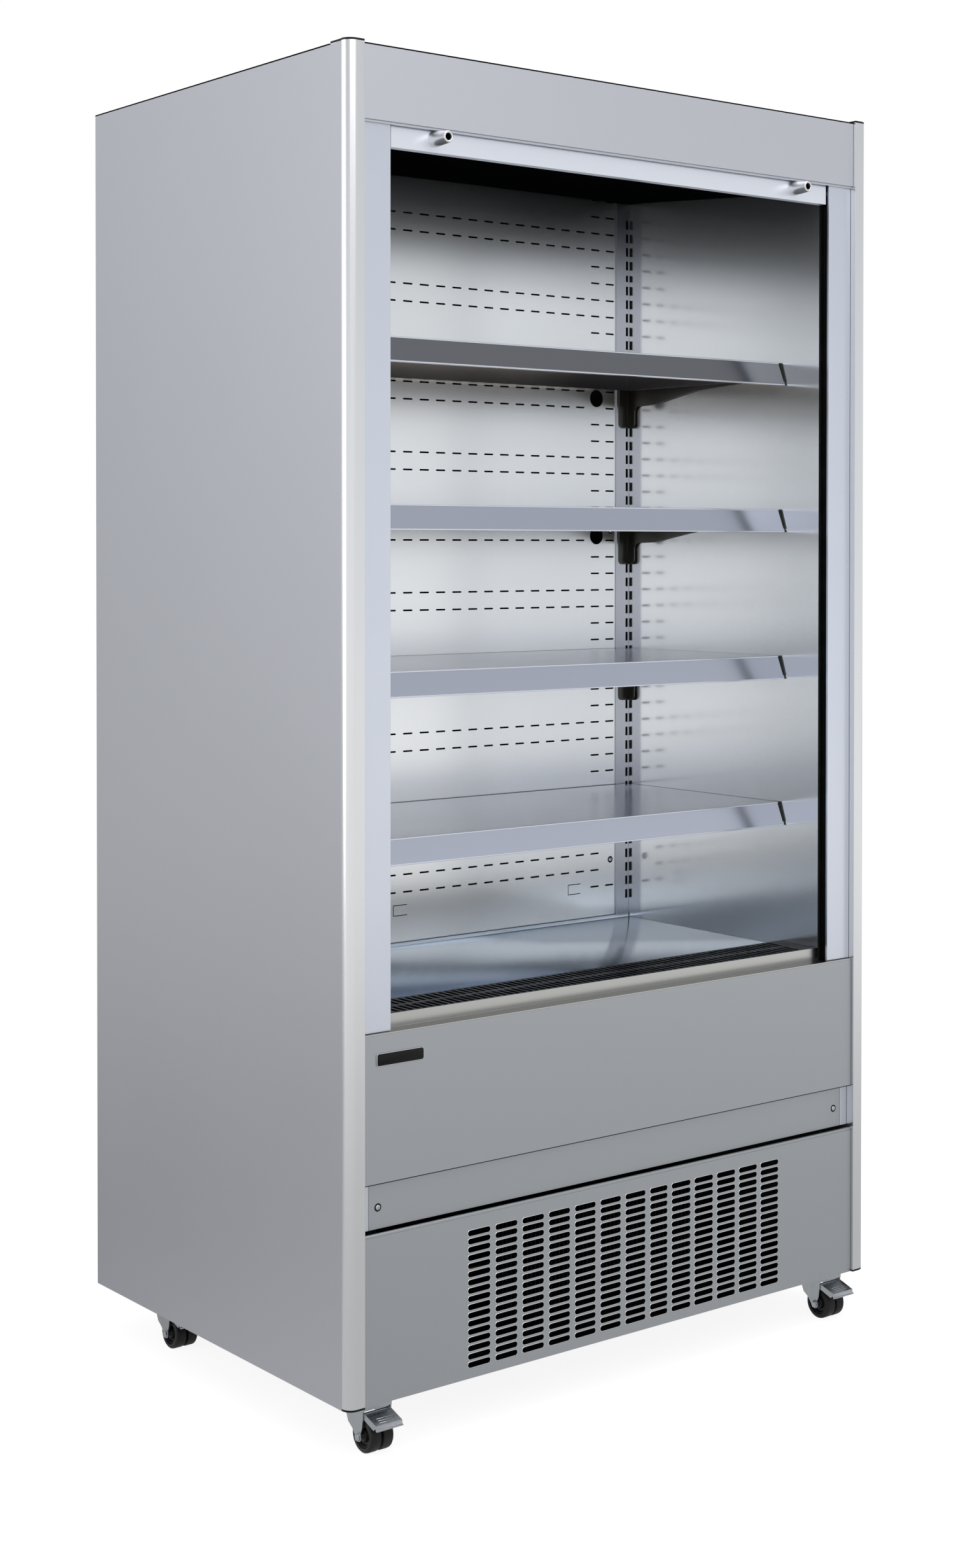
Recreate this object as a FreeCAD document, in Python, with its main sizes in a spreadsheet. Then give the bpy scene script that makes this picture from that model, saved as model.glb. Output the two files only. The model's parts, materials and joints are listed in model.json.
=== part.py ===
"""Open multideck display fridge on four braked castors.

Millimetres, +Z up, +X to the viewer's right, the open front faces -Y.
The origin is the middle of the overall box on the floor.
"""
import FreeCAD, Part
import Sketcher
import math
import os
from types import SimpleNamespace

os.makedirs("parts", exist_ok=True)
doc = FreeCAD.newDocument("display_fridge")
sheet = doc.addObject("Spreadsheet::Sheet", "Sizes")

# --------------------------------------------------------------- driving sizes

SIZES = {
    # cabinet
    "inner_width": 900.0,
    "side_wall": 82.0,
    "cabinet_depth": 726.0,
    "body_height": 1939.0,
    "castor_height": 75.0,
    "skin": 1.0,
    "seam_gap": 0.3,
    "moving_gap": 0.3,
    "panel_gap": 0.5,
    "rear_foam": 44.0,
    "foam_thickness": 40.0,
    "rear_flange": 18.0,
    # front corner posts
    "post_width": 29.5,
    "post_proud": 5.0,
    "post_depth": 45.0,
    "post_radius": 16.0,
    "post_wall": 2.0,
    "post_cap": 3.0,
    # canopy and trims
    "canopy_height": 105.0,
    "roof_sheet": 2.0,
    "canopy_groove": 1.6,
    "canopy_lip": 1.9,
    "canopy_return": 30.0,
    "trim_setback": 6.0,
    "trim_return": 4.0,
    # lower front
    "louvre_height": 240.0,
    "shadow_gap": 8.0,
    "strip_height": 68.0,
    "strip_overlap": 6.0,
    "strip_setback": 10.0,
    "strip_inset": 16.5,
    "upper_panel_height": 212.4,
    "panel_return": 20.0,
    "ledge_depth": 26.0,
    "ledge_sheet": 2.0,
    "ledge_rise": 20.0,
    "grille_rest": 10.0,
    # cold well, base deck and return air grille
    "well_depth": 113.0,
    "deck_drop": 8.0,
    "deck_step": 1.0,
    "deck_lip": 6.0,
    "grille_end": 119.0,
    "grille_overlap": 3.0,
    "grille_slot_long": 36.0,
    "grille_slot_wide": 7.5,
    "grille_slot_pitch": 12.5,
    "grille_row_pitch": 44.0,
    "grille_margin": 24.0,
    # back wall
    "back_wall": 508.0,
    "slot_long": 20.0,
    "slot_wide": 3.0,
    "slot_pitch": 35.2,
    "slot_row_pitch": 30.1,
    "lower_first_row": 603.7,
    "upper_first_row": 1613.1,
    "duct_seam": 1563.0,
    "cable_hole": 31.0,
    "cable_hole_inset": 77.0,
    "cable_hole_drop": 44.0,
    # slotted uprights
    "upright_width": 30.0,
    "upright_proud": 3.0,
    "upright_depth": 22.0,
    "upright_sheet": 1.5,
    "upright_pitch": 25.0,
    "upright_slot_high": 16.0,
    "upright_slot_wide": 8.0,
    "upright_first_slot": 559.5,
    "upright_second_run": 1594.3,
    "upright_joint": 1716.6,
    "upright_joint_slot_high": 11.7,
    "upright_third_run": 1740.3,
    # shelves
    "top_shelf": 1538.0,
    "shelf_pitch": 250.0,
    "shelf_front": 118.5,
    "shelf_side_gap": 2.0,
    "shelf_back_gap": 3.0,
    "shelf_sheet": 1.0,
    "shelf_flange": 28.0,
    "rail_height": 39.0,
    "rail_lean": 13.8,
    "rail_sheet": 1.5,
    "rail_lip": 9.0,
    "arm_sheet": 2.0,
    "arm_front_depth": 24.0,
    "arm_middle_depth": 36.5,
    "arm_rear_depth": 57.0,
    "bracket_drop": 96.0,
    "bracket_plate": 22.0,
    # ceiling
    "ceiling_front": 30.0,
    "ceiling_front_height": 1818.0,
    "ceiling_back_height": 1854.5,
    # night blind
    "bar_setback": 10.0,
    "bar_depth": 14.0,
    "bar_height": 38.0,
    "bar_bottom": 1795.0,
    "bar_wall": 1.5,
    "bar_end_gap": 3.4,
    "handle_spacing": 738.0,
    "handle_length": 35.0,
    "handle_base": 23.7,
    "handle_tip": 17.0,
    "handle_bore": 11.0,
    "handle_rise": 18.8,
    "glide_radius": 4.0,
    "cloth": 0.25,
    "cloth_width": 880.0,
    "roll_radius": 19.0,
    "roller_radius": 15.0,
    "roller_pin": 4.0,
    "roller_height": 1885.0,
    "guide_depth": 10.0,
    "guide_width": 16.0,
    "guide_wall": 1.5,
    # louvres
    "louvre_long": 41.9,
    "louvre_high": 8.8,
    "louvre_pitch": 51.5,
    "louvre_left_edge": 314.7,
    "louvre_narrow": 37.0,
    "louvre_right_long": 40.8,
    "louvre_right_pitch": 49.2,
    "louvre_group_gap": 8.8,
    "louvre_row_pitch": 12.16,
    "louvre_first_row": 20.1,
    # badge and screws
    "badge_long": 83.7,
    "badge_high": 18.8,
    "badge_thick": 2.0,
    "badge_from_side": 22.5,
    "badge_from_top": 25.9,
    "screw_head": 4.2,
    "screw_from_side": 62.0,
    "lance_long": 30.0,
    "lance_high": 19.0,
    "lance_cut": 1.4,
    "lance_from_middle": 321.0,
    "lance_pitch": 390.0,
    "lance_height": 603.0,
    "lance_rise": 91.0,
    "screw_below_middle": 3.0,
    # castors
    "castor_spread": 936.0,
    "front_axle": 24.7,
    "rear_axle": 567.7,
    "wheel_radius": 25.0,
    "wheel_width": 40.0,
    "wheel_groove": 3.0,
    "axle_radius": 4.0,
    "fork_gap": 3.3,
    "fork_sheet": 2.0,
    "swivel_offset": 18.0,
    "kingpin_radius": 5.0,
    "castor_plate": 60.0,
    "castor_plate_thick": 3.0,
    "bearing_radius": 22.0,
    "bearing_thick": 3.0,
    "crown_thick": 5.0,
    "pedal_pin_radius": 2.5,
    "pedal_pin_ahead": 5.0,
    "pedal_pin_height": 57.0,
    "pedal_sheet": 1.5,
    # machinery
    "compressor_radius": 78.0,
    "compressor_height": 185.0,
    "condenser_width": 420.0,
    "condenser_height": 210.0,
    "condenser_depth": 60.0,
    "fan_radius": 92.0,
    "fan_hub": 28.0,
    "evaporator_width": 660.0,
    "evaporator_depth": 100.0,
    "evaporator_height": 300.0,
    "blower_radius": 38.0,
    "blower_shaft": 4.0,
    "pipe_radius": 4.0,
}

SLOT_COLUMNS = 24
LOWER_ROWS = 33
UPPER_ROWS = 9
LOUVRE_LEFT_COLUMNS = 7
LOUVRE_RIGHT_COLUMNS = 5
LOUVRE_ROWS = 17
SHELF_COUNT = 4
BLOWER_BLADES = 16
FAN_BLADES = 5
REAR_VENT_COLUMNS = 8
REAR_VENT_ROWS = 10

for row, (name, number) in enumerate(SIZES.items(), 1):
    sheet.set(f"A{row}", name)
    sheet.set(f"B{row}", str(number))
    sheet.setAlias(f"B{row}", name)
doc.recompute()


class Size:
    """A length that keeps its value and the formula in the sheet's names that gives it."""

    def __init__(self, value, text):
        self.value = float(value)
        self.text = text

    def __float__(self):
        return self.value

    def __add__(self, other):
        other = size(other)
        return Size(self.value + other.value, f"({self.text} + {other.text})")

    def __sub__(self, other):
        other = size(other)
        return Size(self.value - other.value, f"({self.text} - {other.text})")

    def __mul__(self, other):
        other = size(other)
        return Size(self.value * other.value, f"({self.text} * {other.text})")

    def __truediv__(self, other):
        other = size(other)
        return Size(self.value / other.value, f"({self.text} / {other.text})")

    def __neg__(self):
        return Size(-self.value, f"(0 - {self.text})")

    def __radd__(self, other):
        return size(other) + self

    def __rsub__(self, other):
        return size(other) - self

    def __rmul__(self, other):
        return size(other) * self


def size(number):
    """A plain number as a Size; a Size is passed through."""
    if isinstance(number, Size):
        return number
    return Size(number, f"{float(number):.6f}")


S = SimpleNamespace(**{name: Size(sheet.get(name), f"Sizes.{name}") for name in SIZES})

# ------------------------------------------------------------- derived places

half_inner = S.inner_width / 2
half_width = half_inner + S.side_wall
half_front = half_width - S.post_width
front = -(S.cabinet_depth + S.bar_setback - S.handle_length) / 2
back = front + S.cabinet_depth
bottom = S.castor_height
top = bottom + S.body_height
post_bottom = bottom + S.post_cap
post_top = top - S.post_cap
canopy_top = post_top - S.roof_sheet
post_front = front - S.post_proud
seam = post_front + S.post_radius
trim_front = front + S.trim_setback
strip_face = front + S.strip_setback
canopy_bottom = canopy_top - S.canopy_height
louvre_top = bottom + S.louvre_height
strip_bottom = louvre_top + S.shadow_gap
upper_panel_bottom = strip_bottom + S.strip_height
upper_panel_top = upper_panel_bottom + S.upper_panel_height
ledge_top = upper_panel_top + S.ledge_sheet
ledge_face = front + S.ledge_depth
deck_top = ledge_top + S.ledge_rise - S.deck_drop
rest_top = deck_top - S.deck_step
grille_front = ledge_face + S.ledge_sheet + S.moving_gap
grille_back = front + S.grille_end
grille_bottom = rest_top + S.moving_gap
grille_top = ledge_top + S.ledge_rise - S.skin
deck_front = grille_back - S.grille_overlap
deck_sheet_front = grille_back + S.moving_gap
well_floor = deck_top - S.well_depth
wall_face = front + S.back_wall
rear_skin_face = back - S.skin
foam_back = rear_skin_face - S.skin - S.seam_gap
foam_front_of_rear = foam_back - S.rear_foam
machine_ceiling = well_floor - S.skin - S.foam_thickness
wall_bottom = deck_top + S.deck_lip
ceiling_front = front + S.ceiling_front
guide_front = trim_front + S.trim_return
liner_front = guide_front + S.guide_width + S.ledge_sheet
bar_front = front + S.bar_setback
bar_back = bar_front + S.bar_depth
bar_bottom = bottom + S.bar_bottom
bar_top = bar_bottom + S.bar_height
half_bar = half_inner - S.bar_end_gap
cloth_face = bar_front + S.bar_depth / 2
roller_axis_y = cloth_face + S.cloth + S.moving_gap + S.roll_radius
roller_axis_z = bottom + S.roller_height
shelf_back = wall_face - S.upright_proud - S.shelf_back_gap
half_shelf = half_inner - S.shelf_side_gap
top_foam_bottom = canopy_top - S.skin - S.foam_thickness
upright_front = wall_face - S.upright_proud
base_floor = bottom + S.ledge_sheet
condenser_front = front + S.panel_return + S.foam_thickness
condenser_back = condenser_front + S.condenser_depth
condenser_bottom = base_floor
fan_axis_z = condenser_bottom + S.condenser_height / 2
fan_plane = condenser_back + S.foam_thickness
compressor_x = -S.inner_width / 4
compressor_y = front + S.cabinet_depth * 0.68
inlet_place_x = S.inner_width * 0.32
inlet_place_z = bottom + S.foam_thickness * 3
evaporator_front = wall_face + S.upright_depth + S.skin * 8
blower_y = evaporator_front + S.evaporator_depth / 2
blower_z = well_floor + S.blower_radius + S.skin * 10
evaporator_bottom = blower_z + S.blower_radius + S.skin * 14
half_evaporator = S.evaporator_width / 2
suction_pipe_x = -half_evaporator - S.foam_thickness

# ------------------------------------------------------------- building blocks

node_objects = []


def node(obj, label):
    """Marks a finished piece: its label is its file's name."""
    obj.Label = label
    node_objects.append(obj)
    return obj


def bind(obj, prop, length):
    obj.setExpression(prop, size(length).text)


def place(obj, x, y, z):
    for axis, where in (("x", x), ("y", y), ("z", z)):
        bind(obj, f"Placement.Base.{axis}", where)


def turn(obj, axis, degrees):
    obj.Placement = FreeCAD.Placement(FreeCAD.Vector(), FreeCAD.Rotation(axis, degrees))


X_AXIS = FreeCAD.Vector(1, 0, 0)
Y_AXIS = FreeCAD.Vector(0, 1, 0)
Z_AXIS = FreeCAD.Vector(0, 0, 1)


def box(name, x, y, z):
    """A block between the two limits given along each axis."""
    obj = doc.addObject("Part::Box", name)
    bind(obj, "Length", size(x[1]) - x[0])
    bind(obj, "Width", size(y[1]) - y[0])
    bind(obj, "Height", size(z[1]) - z[0])
    place(obj, x[0], y[0], z[0])
    return obj


def cylinder(name, radius, length, x, y, z, along=Z_AXIS):
    """A cylinder that starts at the point given and runs along one axis."""
    obj = doc.addObject("Part::Cylinder", name)
    if along == X_AXIS:
        turn(obj, Y_AXIS, 90)
    elif along == Y_AXIS:
        turn(obj, X_AXIS, -90)
    bind(obj, "Radius", radius)
    bind(obj, "Height", length)
    place(obj, x, y, z)
    return obj


def cone(name, radius_start, radius_end, length, x, y, z):
    """A tapered plug that starts at the point given and runs towards -Y."""
    obj = doc.addObject("Part::Cone", name)
    turn(obj, X_AXIS, 90)
    bind(obj, "Radius1", radius_start)
    bind(obj, "Radius2", radius_end)
    bind(obj, "Height", length)
    place(obj, x, y, z)
    return obj


def fuse(name, pieces):
    obj = doc.addObject("Part::MultiFuse", name)
    obj.Shapes = pieces
    obj.Refine = True
    return obj


def cut(name, base, tools):
    obj = doc.addObject("Part::Cut", name)
    obj.Base = base
    obj.Tool = tools[0] if len(tools) == 1 else fuse(name + "_tools", tools)
    obj.Refine = True
    return obj


def group(name, pieces):
    """Separate solids that share one node."""
    obj = doc.addObject("Part::Compound", name)
    obj.Links = pieces
    return obj


def feature(name, shape):
    obj = doc.addObject("Part::Feature", name)
    obj.Shape = shape
    return obj


def closed_outline(sketch, points):
    """Lines round the points, each corner held by its two distances from the origin."""
    first = sketch.GeometryCount
    count = len(points)
    places = [FreeCAD.Vector(float(size(u)), float(size(v)), 0) for u, v in points]
    for index in range(count):
        sketch.addGeometry(Part.LineSegment(places[index], places[(index + 1) % count]), False)
    for index in range(count):
        following = first + (index + 1) % count
        sketch.addConstraint(Sketcher.Constraint("Coincident", first + index, 2, following, 1))
    for index, (u, v) in enumerate(points):
        for kind, where in (("DistanceX", size(u)), ("DistanceY", size(v))):
            rule = Sketcher.Constraint(kind, -1, 1, first + index, 1, float(where))
            number = sketch.addConstraint(rule)
            sketch.setExpression(f"Constraints[{number}]", where.text)


SKETCH_AXES = {"XY_Plane": (0, 1), "XZ_Plane": (0, 2), "YZ_Plane": (1, 2)}


def padded(name, plane_role, outlines, start, length, rounded=()):
    """A body: one sketch of closed outlines, padded, with some long edges rounded.

    start is where the pad begins along the sketch plane's normal. rounded holds
    (u, v, radius) for each long edge that is rounded.
    """
    body = doc.addObject("PartDesign::Body", name)
    sketch = body.newObject("Sketcher::SketchObject", name + "_outline")
    plane = [f for f in body.Origin.OriginFeatures if f.Role == plane_role][0]
    sketch.AttachmentSupport = [(plane, "")]
    sketch.MapMode = "FlatFace"
    for points in outlines:
        closed_outline(sketch, points)
    pad = body.newObject("PartDesign::Pad", name + "_pad")
    pad.Profile = sketch
    bind(pad, "Length", length)
    normal = {"XY_Plane": "z", "XZ_Plane": "y", "YZ_Plane": "x"}[plane_role]
    begin = size(start) + length if plane_role == "XZ_Plane" else start
    if rounded:
        doc.recompute()
    for number, (u, v, radius) in enumerate(rounded):
        base = body.Tip
        corner = body.newObject("PartDesign::Fillet", f"{name}_round_{number}")
        corner.Base = (base, [long_edge(base.Shape, plane_role, float(u), float(v))])
        bind(corner, "Radius", radius)
        doc.recompute()
    bind(body, f"Placement.Base.{normal}", begin)
    return body


def long_edge(shape, plane_role, u, v):
    """The name of the straight edge that stands on the sketch point (u, v)."""
    first, second = SKETCH_AXES[plane_role]
    for index, edge in enumerate(shape.Edges):
        ends = [vertex.Point for vertex in edge.Vertexes]
        if len(ends) == 2 and all(
            abs(end[first] - u) < 1e-4 and abs(end[second] - v) < 1e-4 for end in ends
        ):
            return f"Edge{index + 1}"
    raise ValueError(f"no edge stands on {u}, {v}")


def rectangle(u0, u1, v0, v1):
    return [(u0, v0), (u1, v0), (u1, v1), (u0, v1)]


# Flat sheets with hundreds of slots are one face with holes, thickened.
# A sheet is drawn in its own (u, v) plane: across is u's direction, up is v's.


def wire_rectangle(u0, u1, v0, v1):
    corners = [(u0, v0), (u1, v0), (u1, v1), (u0, v1), (u0, v0)]
    return Part.makePolygon([FreeCAD.Vector(u, v, 0) for u, v in corners])


def wire_slot(u, v, long_side, short_side):
    """A slot with round ends, centred on (u, v); long_side lies along u."""
    radius = min(long_side, short_side) / 2
    if long_side >= short_side:
        reach = (long_side - short_side) / 2
        a, b = FreeCAD.Vector(u - reach, v, 0), FreeCAD.Vector(u + reach, v, 0)
        side = FreeCAD.Vector(0, radius, 0)
        end = FreeCAD.Vector(radius, 0, 0)
    else:
        reach = (short_side - long_side) / 2
        a, b = FreeCAD.Vector(u, v + reach, 0), FreeCAD.Vector(u, v - reach, 0)
        side = FreeCAD.Vector(radius, 0, 0)
        end = FreeCAD.Vector(0, -radius, 0)
    edges = [
        Part.makeLine(a + side, b + side),
        Part.Arc(b + side, b + end, b - side).toShape(),
        Part.makeLine(b - side, a - side),
        Part.Arc(a - side, a - end, a + side).toShape(),
    ]
    return Part.Wire(edges)


def wire_circle(u, v, radius):
    return Part.Wire([Part.makeCircle(radius, FreeCAD.Vector(u, v, 0))])


def holed_sheet(outer, holes, thickness):
    """The outer wire less its holes, thickened upwards from its plane."""
    face = Part.Face([outer] + list(holes), "Part::FaceMakerBullseye")
    return face.extrude(FreeCAD.Vector(0, 0, thickness))


def stand_facing_front(shape, y, thickness):
    """Stands up a sheet drawn in (x, z): its front side at y, its thickness behind."""
    shape.rotate(FreeCAD.Vector(), X_AXIS, 90)
    shape.translate(FreeCAD.Vector(0, y + thickness, 0))
    return shape


def tube(points, radius, bend):
    """A pipe of straight runs joined by tangent arcs."""
    edges = []
    previous = points[0]
    for index in range(1, len(points) - 1):
        corner = points[index]
        arriving = (corner - points[index - 1]).normalize()
        leaving = (points[index + 1] - corner).normalize()
        half_turn = arriving.getAngle(leaving) / 2
        reach = bend * math.tan(half_turn)
        begin = corner - arriving * reach
        finish = corner + leaving * reach
        inward = (leaving - arriving).normalize()
        middle = corner + inward * (bend / math.cos(half_turn) - bend)
        edges.append(Part.makeLine(previous, begin))
        edges.append(Part.Arc(begin, middle, finish).toShape())
        previous = finish
    edges.append(Part.makeLine(previous, points[-1]))
    path = Part.Wire(edges)
    start = Part.Wire([Part.makeCircle(radius, points[0], points[1] - points[0])])
    return path.makePipeShell([start], True, False)


def pipe_hole(name, z):
    """The clear way for the suction pipe through the floor of the cold space."""
    radius = S.pipe_radius + S.skin * 2
    length = S.foam_thickness * 2
    return cylinder(name, radius, length, suction_pipe_x, blower_y, z - S.foam_thickness / 2)


# ------------------------------------------------------------------ outer casing


def make_side_panel(sign, label):
    outer = half_width * sign
    inner = (half_width - S.skin) * sign
    flange = (half_width - S.rear_flange) * sign
    outline = [
        (outer, seam + S.seam_gap),
        (outer, back),
        (flange, back),
        (flange, back - S.skin),
        (inner, back - S.skin),
        (inner, seam + S.seam_gap),
    ]
    node(padded(label, "XY_Plane", [outline], bottom, canopy_top - bottom), label)


def post_outline(sign):
    """The post's section: full width in front, set in behind the seam with the side panel."""
    outer = half_width * sign
    shoulder = (half_width - S.skin - S.seam_gap) * sign
    inner = half_front * sign
    post_back = post_front + S.post_depth
    return [
        (inner, post_front),
        (outer, post_front),
        (outer, seam),
        (shoulder, seam),
        (shoulder, post_back),
        (inner, post_back),
    ]


def make_post(sign, label):
    wall = S.post_wall
    void_outer = (half_width - S.skin - S.seam_gap - wall) * sign
    void_inner = (half_front + wall) * sign
    void_back = post_front + S.post_depth - wall
    void = rectangle(void_inner, void_outer, post_front + wall, void_back)
    rounded = [
        (half_width * sign, post_front, S.post_radius - S.panel_gap),
        (void_outer, post_front + wall, S.post_radius - wall),
    ]
    outlines = [post_outline(sign), void]
    length = post_top - post_bottom
    node(padded(label, "XY_Plane", outlines, post_bottom, length, rounded), label)


def make_post_caps():
    pieces = []
    for side, sign in (("left", -1), ("right", 1)):
        for level, start in (("foot", bottom), ("head", post_top)):
            rounded = [(half_width * sign, post_front, S.post_radius - S.panel_gap)]
            name = f"post_cap_{side}_{level}"
            outline = post_outline(sign)
            pieces.append(padded(name, "XY_Plane", [outline], start, S.post_cap, rounded))
    node(group("post_caps", pieces), "post_caps")


def make_canopy():
    """Front fascia: its foot folds back into a groove and comes out again as a slim lip."""
    flange = front + S.canopy_return
    groove_back = front + S.canopy_return / 10
    lip_back = front + S.trim_setback - S.panel_gap
    groove_foot = canopy_bottom - S.canopy_groove
    lip_foot = groove_foot - S.canopy_lip
    outline = [
        (front, canopy_bottom),
        (groove_back, canopy_bottom),
        (groove_back, groove_foot),
        (front + S.skin, groove_foot),
        (front + S.skin, lip_foot),
        (lip_back, lip_foot),
        (lip_back, canopy_bottom + S.skin),
        (front + S.skin, canopy_bottom + S.skin),
        (front + S.skin, canopy_top - S.skin),
        (flange, canopy_top - S.skin),
        (flange, canopy_top),
        (front, canopy_top),
    ]
    start = -half_front + S.panel_gap
    length = half_front * 2 - S.panel_gap * 2
    node(padded("canopy_panel", "YZ_Plane", [outline], start, length), "canopy_panel")


def make_top_panel():
    """Roof sheet over the fascia and the side panels; only its edge shows."""
    z = (canopy_top, post_top)
    behind_post = post_front + S.post_depth + S.seam_gap
    rear = box("top_panel_rear", (-half_width, half_width), (behind_post, back), z)
    between = (-half_front + S.panel_gap, half_front - S.panel_gap)
    fore = box("top_panel_front", between, (front, behind_post + 1), z)
    node(fuse("top_panel", [rear, fore]), "top_panel")


def make_rear_panel():
    """Back sheet inside the side flanges, with outlet slots for the machine space."""
    half = float(half_width - S.skin - S.seam_gap)
    low = float(bottom + S.skin)
    high = float(canopy_top - S.seam_gap)
    long_side, high_side = float(S.louvre_long), float(S.louvre_high)
    pitch, row_pitch = float(S.louvre_pitch), float(S.louvre_row_pitch)
    first_x = -(REAR_VENT_COLUMNS - 1) * pitch / 2
    first_z = low + float(S.louvre_first_row) * 2
    holes = [
        wire_slot(first_x + column * pitch, first_z + row * row_pitch, long_side, high_side)
        for column in range(REAR_VENT_COLUMNS)
        for row in range(REAR_VENT_ROWS)
    ]
    inlet_x, inlet_z = float(inlet_place_x), float(inlet_place_z)
    holes.append(
        wire_rectangle(inlet_x - 25, inlet_x + 25, inlet_z - 15, inlet_z + 15)
    )
    shape = holed_sheet(wire_rectangle(-half, half, low, high), holes, float(S.skin))
    y = float(rear_skin_face - S.skin - S.seam_gap / 3)
    node(feature("rear_panel", stand_facing_front(shape, y, float(S.skin))), "rear_panel")


def make_base_frame():
    sheet_2 = S.ledge_sheet
    edge = half_width - S.skin - S.seam_gap
    begin = front + S.panel_return + S.panel_gap
    finish = foam_back
    rise = S.foam_thickness
    wall_left = (-edge, -edge + sheet_2)
    wall_right = (edge - sheet_2, edge)
    behind_post = post_front + S.post_depth + S.seam_gap
    pieces = [
        box("base_plate_rear", (-edge, edge), (behind_post, finish), (bottom, bottom + sheet_2)),
        box(
            "base_plate_front",
            (-half_front + S.panel_gap, half_front - S.panel_gap),
            (begin, behind_post + 1),
            (bottom, bottom + sheet_2),
        ),
        box("base_side_left", wall_left, (behind_post, finish), (bottom, bottom + rise)),
        box("base_side_right", wall_right, (behind_post, finish), (bottom, bottom + rise)),
        box("base_rear_rail", (-edge, edge), (finish - sheet_2, finish), (bottom, bottom + rise)),
        box(
            "base_front_rail",
            (-half_front + S.panel_gap, half_front - S.panel_gap),
            (begin, begin + sheet_2),
            (bottom, bottom + rise),
        ),
    ]
    node(fuse("base_frame", pieces), "base_frame")


def make_insulation():
    gap = S.seam_gap
    skin = S.skin
    outer = half_width - skin - gap * 2
    inner = half_inner + skin + gap
    floor_top = well_floor - skin - gap
    side_y = (post_front + S.post_depth + gap * 2, foam_back - gap)
    side_z = (bottom + S.foam_thickness + gap, canopy_top - gap)
    between = (-half_inner, half_inner)
    rear_y = (foam_front_of_rear, foam_back - gap)
    rear_z = (machine_ceiling, top_foam_bottom - gap)
    roof_y = (roller_axis_y + S.roll_radius * 2, foam_back - gap)
    floor_y = (front + S.panel_return + gap * 2, foam_front_of_rear - gap)
    front_y = (front + skin + gap, ledge_face - gap)
    front_z = (machine_ceiling + skin + gap, upper_panel_top - skin - gap)
    floor_z = (machine_ceiling, floor_top)
    floor_block = box("foam_floor_block", between, (ledge_face, floor_y[1]), floor_z)
    pieces = [
        box("foam_left", (-outer, -inner), side_y, side_z),
        box("foam_right", (inner, outer), side_y, side_z),
        box("foam_rear", between, rear_y, rear_z),
        box("foam_roof", between, roof_y, (top_foam_bottom, canopy_top - gap)),
        cut("foam_floor", floor_block, [pipe_hole("foam_floor_hole", machine_ceiling)]),
        box("foam_front", between, front_y, front_z),
    ]
    node(group("insulation", pieces), "insulation")


def make_liner(sign, label):
    low, high = machine_ceiling, top_foam_bottom - S.seam_gap
    near = half_inner * sign
    far = (half_inner + S.skin) * sign
    x = (near, far) if sign > 0 else (far, near)
    node(box(label, x, (liner_front, foam_front_of_rear - S.seam_gap), (low, high)), label)


# ------------------------------------------------------------------- front panels


def make_trim(sign, label):
    """Flat trim between the post and the opening, with a short return at the opening."""
    outer = (half_front - S.panel_gap) * sign
    inner = half_inner * sign
    inner_back = (half_inner + S.skin) * sign
    outline = [
        (outer, trim_front),
        (outer, trim_front + S.skin),
        (inner_back, trim_front + S.skin),
        (inner_back, trim_front + S.trim_return),
        (inner, trim_front + S.trim_return),
        (inner, trim_front),
    ]
    start = ledge_top + S.panel_gap
    strip = padded(f"{label}_strip", "XY_Plane", [outline], start, canopy_bottom - start)
    foot_inner = (half_front - S.strip_inset + S.panel_gap) * sign
    foot_x = (foot_inner, outer) if sign > 0 else (outer, foot_inner)
    foot_z = (strip_bottom, upper_panel_bottom - S.panel_gap)
    foot = box(f"{label}_foot", foot_x, (strip_face, strip_face + S.skin), foot_z)
    node(group(label, [strip, foot]), label)


def make_blind_guides():
    """Channels open towards the cabinet, where the ends of the pull bar run."""
    pieces = []
    for side, sign in (("left", -1), ("right", 1)):
        mouth = half_inner * sign
        floor = (half_inner + S.guide_depth) * sign
        floor_in = (half_inner + S.guide_depth - S.guide_wall) * sign
        begin = guide_front + S.panel_gap / 2
        finish = guide_front + S.guide_width
        outline = [
            (mouth, begin),
            (floor, begin),
            (floor, finish),
            (mouth, finish),
            (mouth, finish - S.guide_wall),
            (floor_in, finish - S.guide_wall),
            (floor_in, begin + S.guide_wall),
            (mouth, begin + S.guide_wall),
        ]
        start = ledge_top + S.panel_gap
        length = canopy_bottom - start
        pieces.append(padded(f"blind_guide_{side}", "XY_Plane", [outline], start, length))
    node(group("blind_guides", pieces), "blind_guides")


def front_pan(name, low, high, setback):
    """A folded front panel: a face with returns along its top and bottom edges."""
    face = front + setback
    deep = front + S.panel_return
    skin = S.skin
    outline = [
        (face, low),
        (deep, low),
        (deep, low + skin),
        (face + skin, low + skin),
        (face + skin, high - skin),
        (deep, high - skin),
        (deep, high),
        (face, high),
    ]
    start = -half_front + S.panel_gap
    length = half_front * 2 - S.panel_gap * 2
    return node(padded(name, "YZ_Plane", [outline], start, length), name)


def louvre_columns():
    """Middle and length of each column of slots, left to right."""
    edge = -float(S.louvre_left_edge)
    columns = []
    for _ in range(LOUVRE_LEFT_COLUMNS):
        columns.append((edge + float(S.louvre_long) / 2, float(S.louvre_long)))
        edge += float(S.louvre_pitch)
    columns.append((edge + float(S.louvre_narrow) / 2, float(S.louvre_narrow)))
    edge += float(S.louvre_narrow + S.louvre_group_gap)
    for _ in range(LOUVRE_RIGHT_COLUMNS):
        columns.append((edge + float(S.louvre_right_long) / 2, float(S.louvre_right_long)))
        edge += float(S.louvre_right_pitch)
    return columns


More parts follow.
